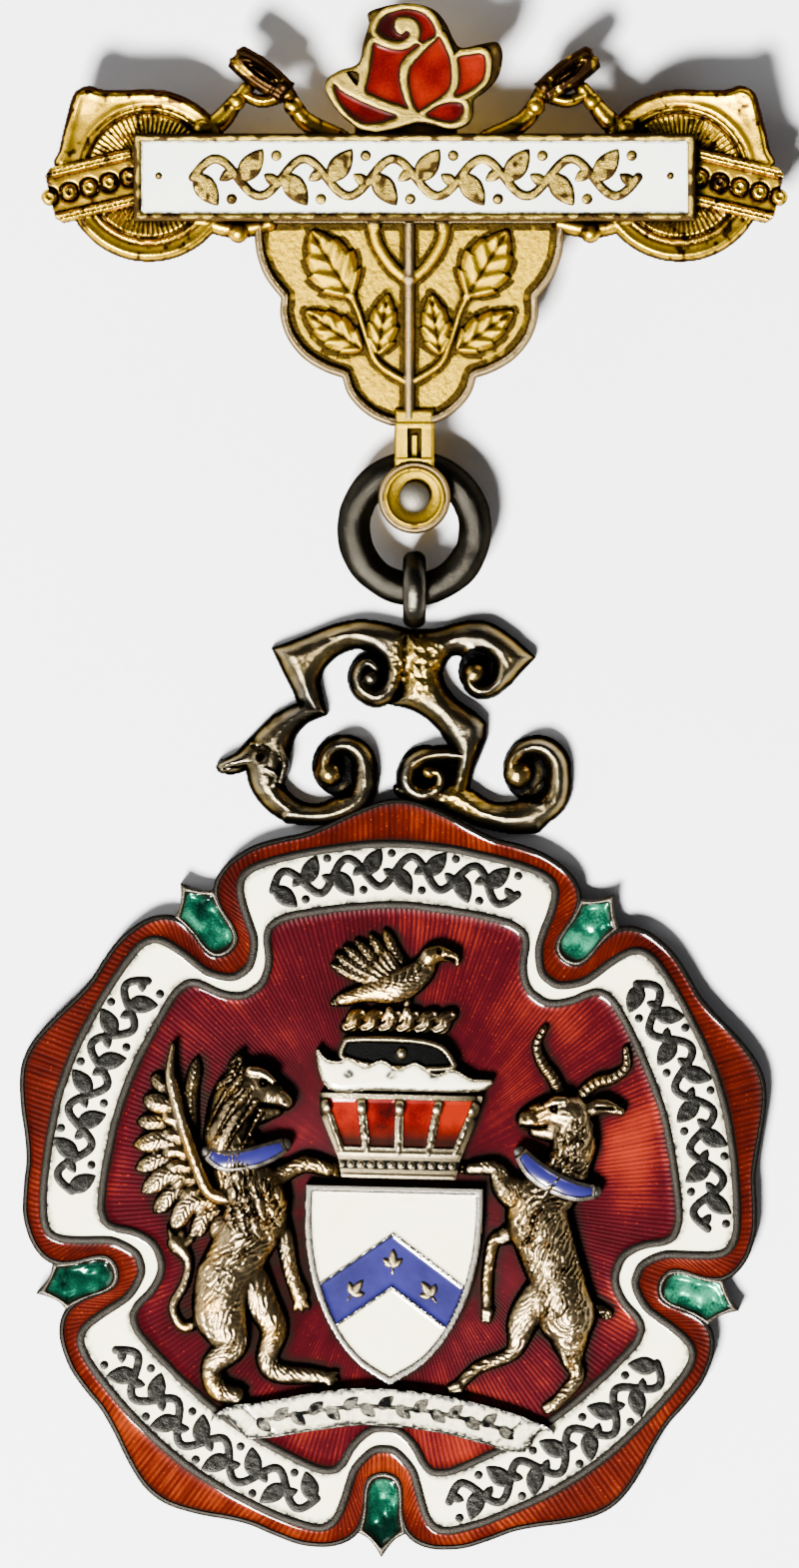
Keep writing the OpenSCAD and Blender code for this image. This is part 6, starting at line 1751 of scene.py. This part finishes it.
def build_rose():
    """The rose with its six cells of red enamel, and the plate and lug behind it."""
    place = on_axis(ROSE_Y)
    grid, flat = (sheet(RU, -51.5, -1.5, 51, 74, step) for step in (0.05, 0.14))
    outer, *cells = (smooth_loop(table, RU, 5) for table in (ROSE, *ROSE_CELLS))
    S, C = grid.distance([outer], 0.8), grid.distance(cells, 0.8)
    top = 4.90
    Z = top + 0.12 * round_profile(unit(np.minimum(S, -C) / 0.22)) + 0.02 * grid.grain(0.5, 91, 9)
    # Painted shade: on the upper right, away from the light, the outer edge drops and darkens.
    east, north = grid.U + 2, grid.V - 34
    shade = unit(0.25 + (0.5 * east + 0.85 * north) / np.maximum(np.hypot(east, north), 1))
    dropped = unit((unit(-C) - 0.28) / 0.06) * (S < 0.75) * shade
    Z -= 0.30 * dropped
    gap = grid.distance([smooth_loop(ROSE_GAP, RU, 4)], 0.3)
    Z = np.where(gap > 0, 4.70, Z)
    Z = np.where(C > 0, 4.55, Z)
    aged = grid.grain(0.4, 93, 33)
    patina_and_shade = np.maximum(0.85 * verge(S, 0.10), dropped * (0.85 + 0.2 * aged))
    patina_and_shade = unit(np.maximum(patina_and_shade, 0.9 * (gap > -0.03)) + 0.22 + 0.35 * aged)
    relief_solid("rose_body", grid, S, np.minimum(Z, 5.02), 3.72, "worn", ["rose"], place,
                 {"patina_and_shade": patina_and_shade}, sharp=58)
    for i, cell in enumerate(cells):
        F = grid.distance([cell], 0.8) + 0.02
        wave = lattice_noise(grid.X + 20 + 3 * i, grid.Y + 20, 0.9, 92)
        z = top + 0.01 + 0.05 * verge(F, 0.18) + 0.02 * wave
        bright = 0.25 * wave + 0.15 * (grid.X / 3 - 0.2)
        glass(f"rose_glass_{i + 1}", grid, F, np.minimum(z, 5.01), 4.5, "bright_red",
              "bright_red_enamel",
              [f"rose_enamel_{i + 1}"], 0.70 * verge(F, 0.10) + 0.45 * verge(F, 0.40), place,
              glow=bright - (0.30 if i in (0, 4, 5) else -0.05))
    relief_solid("rose_backing", flat, flat.distance([outer], 0.8) - 0.34, flat.zeros(3.71),
                 FRAME_Z + 0.03, "gilt", ["brooch_frame"], place, sharp=40, ridge=False)
    prism("rose_lug", dense_box(-34 * RU, -1.4, 24 * RU, 10 * RU), FRAME_Z + 0.03, 3.70, "gilt",
          ["brooch_frame"], place, 0.05)


def build_all():
    build_walls()
    build_bands()
    build_sepals()
    build_band_ornament()
    build_lion()
    build_antelope()
    build_bird()
    build_collars()
    build_shield()
    build_coronet()
    build_cap()
    build_banner()
    build_field()
    build_hanger()
    build_ring()
    for side in (1, -1):
        build_end(side)
    build_plaque()
    build_neck()
    build_bar()
    build_rose()
    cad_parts["brooch_pin"].data.materials.clear()
    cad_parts["brooch_pin"].data.materials.append(MATS["gilt"])


# ---------------------------------------------------------------- table, light and camera
def build_stage():
    """A pale grey table under the jewel, with faint flecks."""
    n = Nodes(bpy.data.materials.new("backdrop"))
    place = n.place()
    tone = n.remap(n.noise(0.02, 3.0, 0.5, place), 0.35, 0.65)
    fleck = n.remap(n.noise(1.3, 2.0, 0.6, place), 0.70, 0.78)
    colour = n.mix(tone, rgb(0.80, 0.80, 0.82), rgb(0.84, 0.84, 0.86))
    colour = n.mix(n.times(fleck, 0.35), colour, rgb(0.62, 0.62, 0.64))
    n.set(Base_Color=colour, Roughness=0.85, Specular_IOR_Level=0.2)
    mesh = bpy.data.meshes.new("floor")
    r = 0.6
    mesh.from_pydata([(-r, -r, 0), (r, -r, 0), (r, r, 0), (-r, r, 0)], [], [(0, 1, 2, 3)])
    mesh.materials.append(n.owner)
    floor = add_object("floor", mesh)


def area_light(name, where, size, power, colour=(1, 1, 1)):
    """A rectangular light that faces the jewel."""
    light = bpy.data.lights.new(name, "AREA")
    light.shape = "RECTANGLE"
    light.size, light.size_y = size
    light.energy = power
    light.color = colour
    obj = add_object(name, light)
    obj.location = where
    obj.rotation_euler = (-Vector(where)).to_track_quat("-Z", "Y").to_euler()


def build_light():
    """A dark ceiling over the camera, pale walls, and a soft key from the lower left."""
    n = Nodes(bpy.data.worlds.new("studio"))
    sky = n.add("ShaderNodeTexCoord").outputs["Generated"]
    split = n.add("ShaderNodeSeparateXYZ")
    n.feed(split.inputs[0], sky)
    lean = n.add("ShaderNodeVectorMath", operation="DOT_PRODUCT")
    n.feed(lean.inputs[0], sky)
    n.feed(lean.inputs[1], (-0.50, -0.86, 0.0))
    stops = [(0.0, rgb(0.15, 0.15, 0.16)), (0.30, rgb(0.34, 0.34, 0.34 * 1.02)),
             (0.72, rgb(0.26, 0.26, 0.26 * 1.02)), (1.0, rgb(0.06, 0.06, 0.065))]
    n.set(Color=n.ramp(split.outputs["Z"], stops),
          Strength=n.remap(lean.outputs["Value"], -0.9, 0.9, 0.10, 1.3))
    bpy.context.scene.world = n.owner
    area_light("key", (-0.17, -0.30, 0.50), (0.15, 0.13), 30.0, (1.0, 0.985, 0.955))
    area_light("side", (-0.50, 0.10, 0.25), (0.3, 0.3), 1.2)


def build_camera():
    """Looks straight down from far off; the view is 75.36 mm high at the jewel."""
    cam = bpy.data.cameras.new("camera")
    obj = add_object("camera", cam)
    away, sensor, view = 0.60, 24.0, 0.07536
    obj.location = Vector((-0.00015, -0.00006, 0.0025)) + Vector((0, 0, away))
    cam.sensor_fit = "VERTICAL"
    cam.sensor_height = sensor
    cam.lens = sensor * away / view
    cam.clip_start = 0.01
    cam.clip_end = 5.0
    bpy.context.scene.camera = obj


build_all()
build_stage()
build_light()
build_camera()
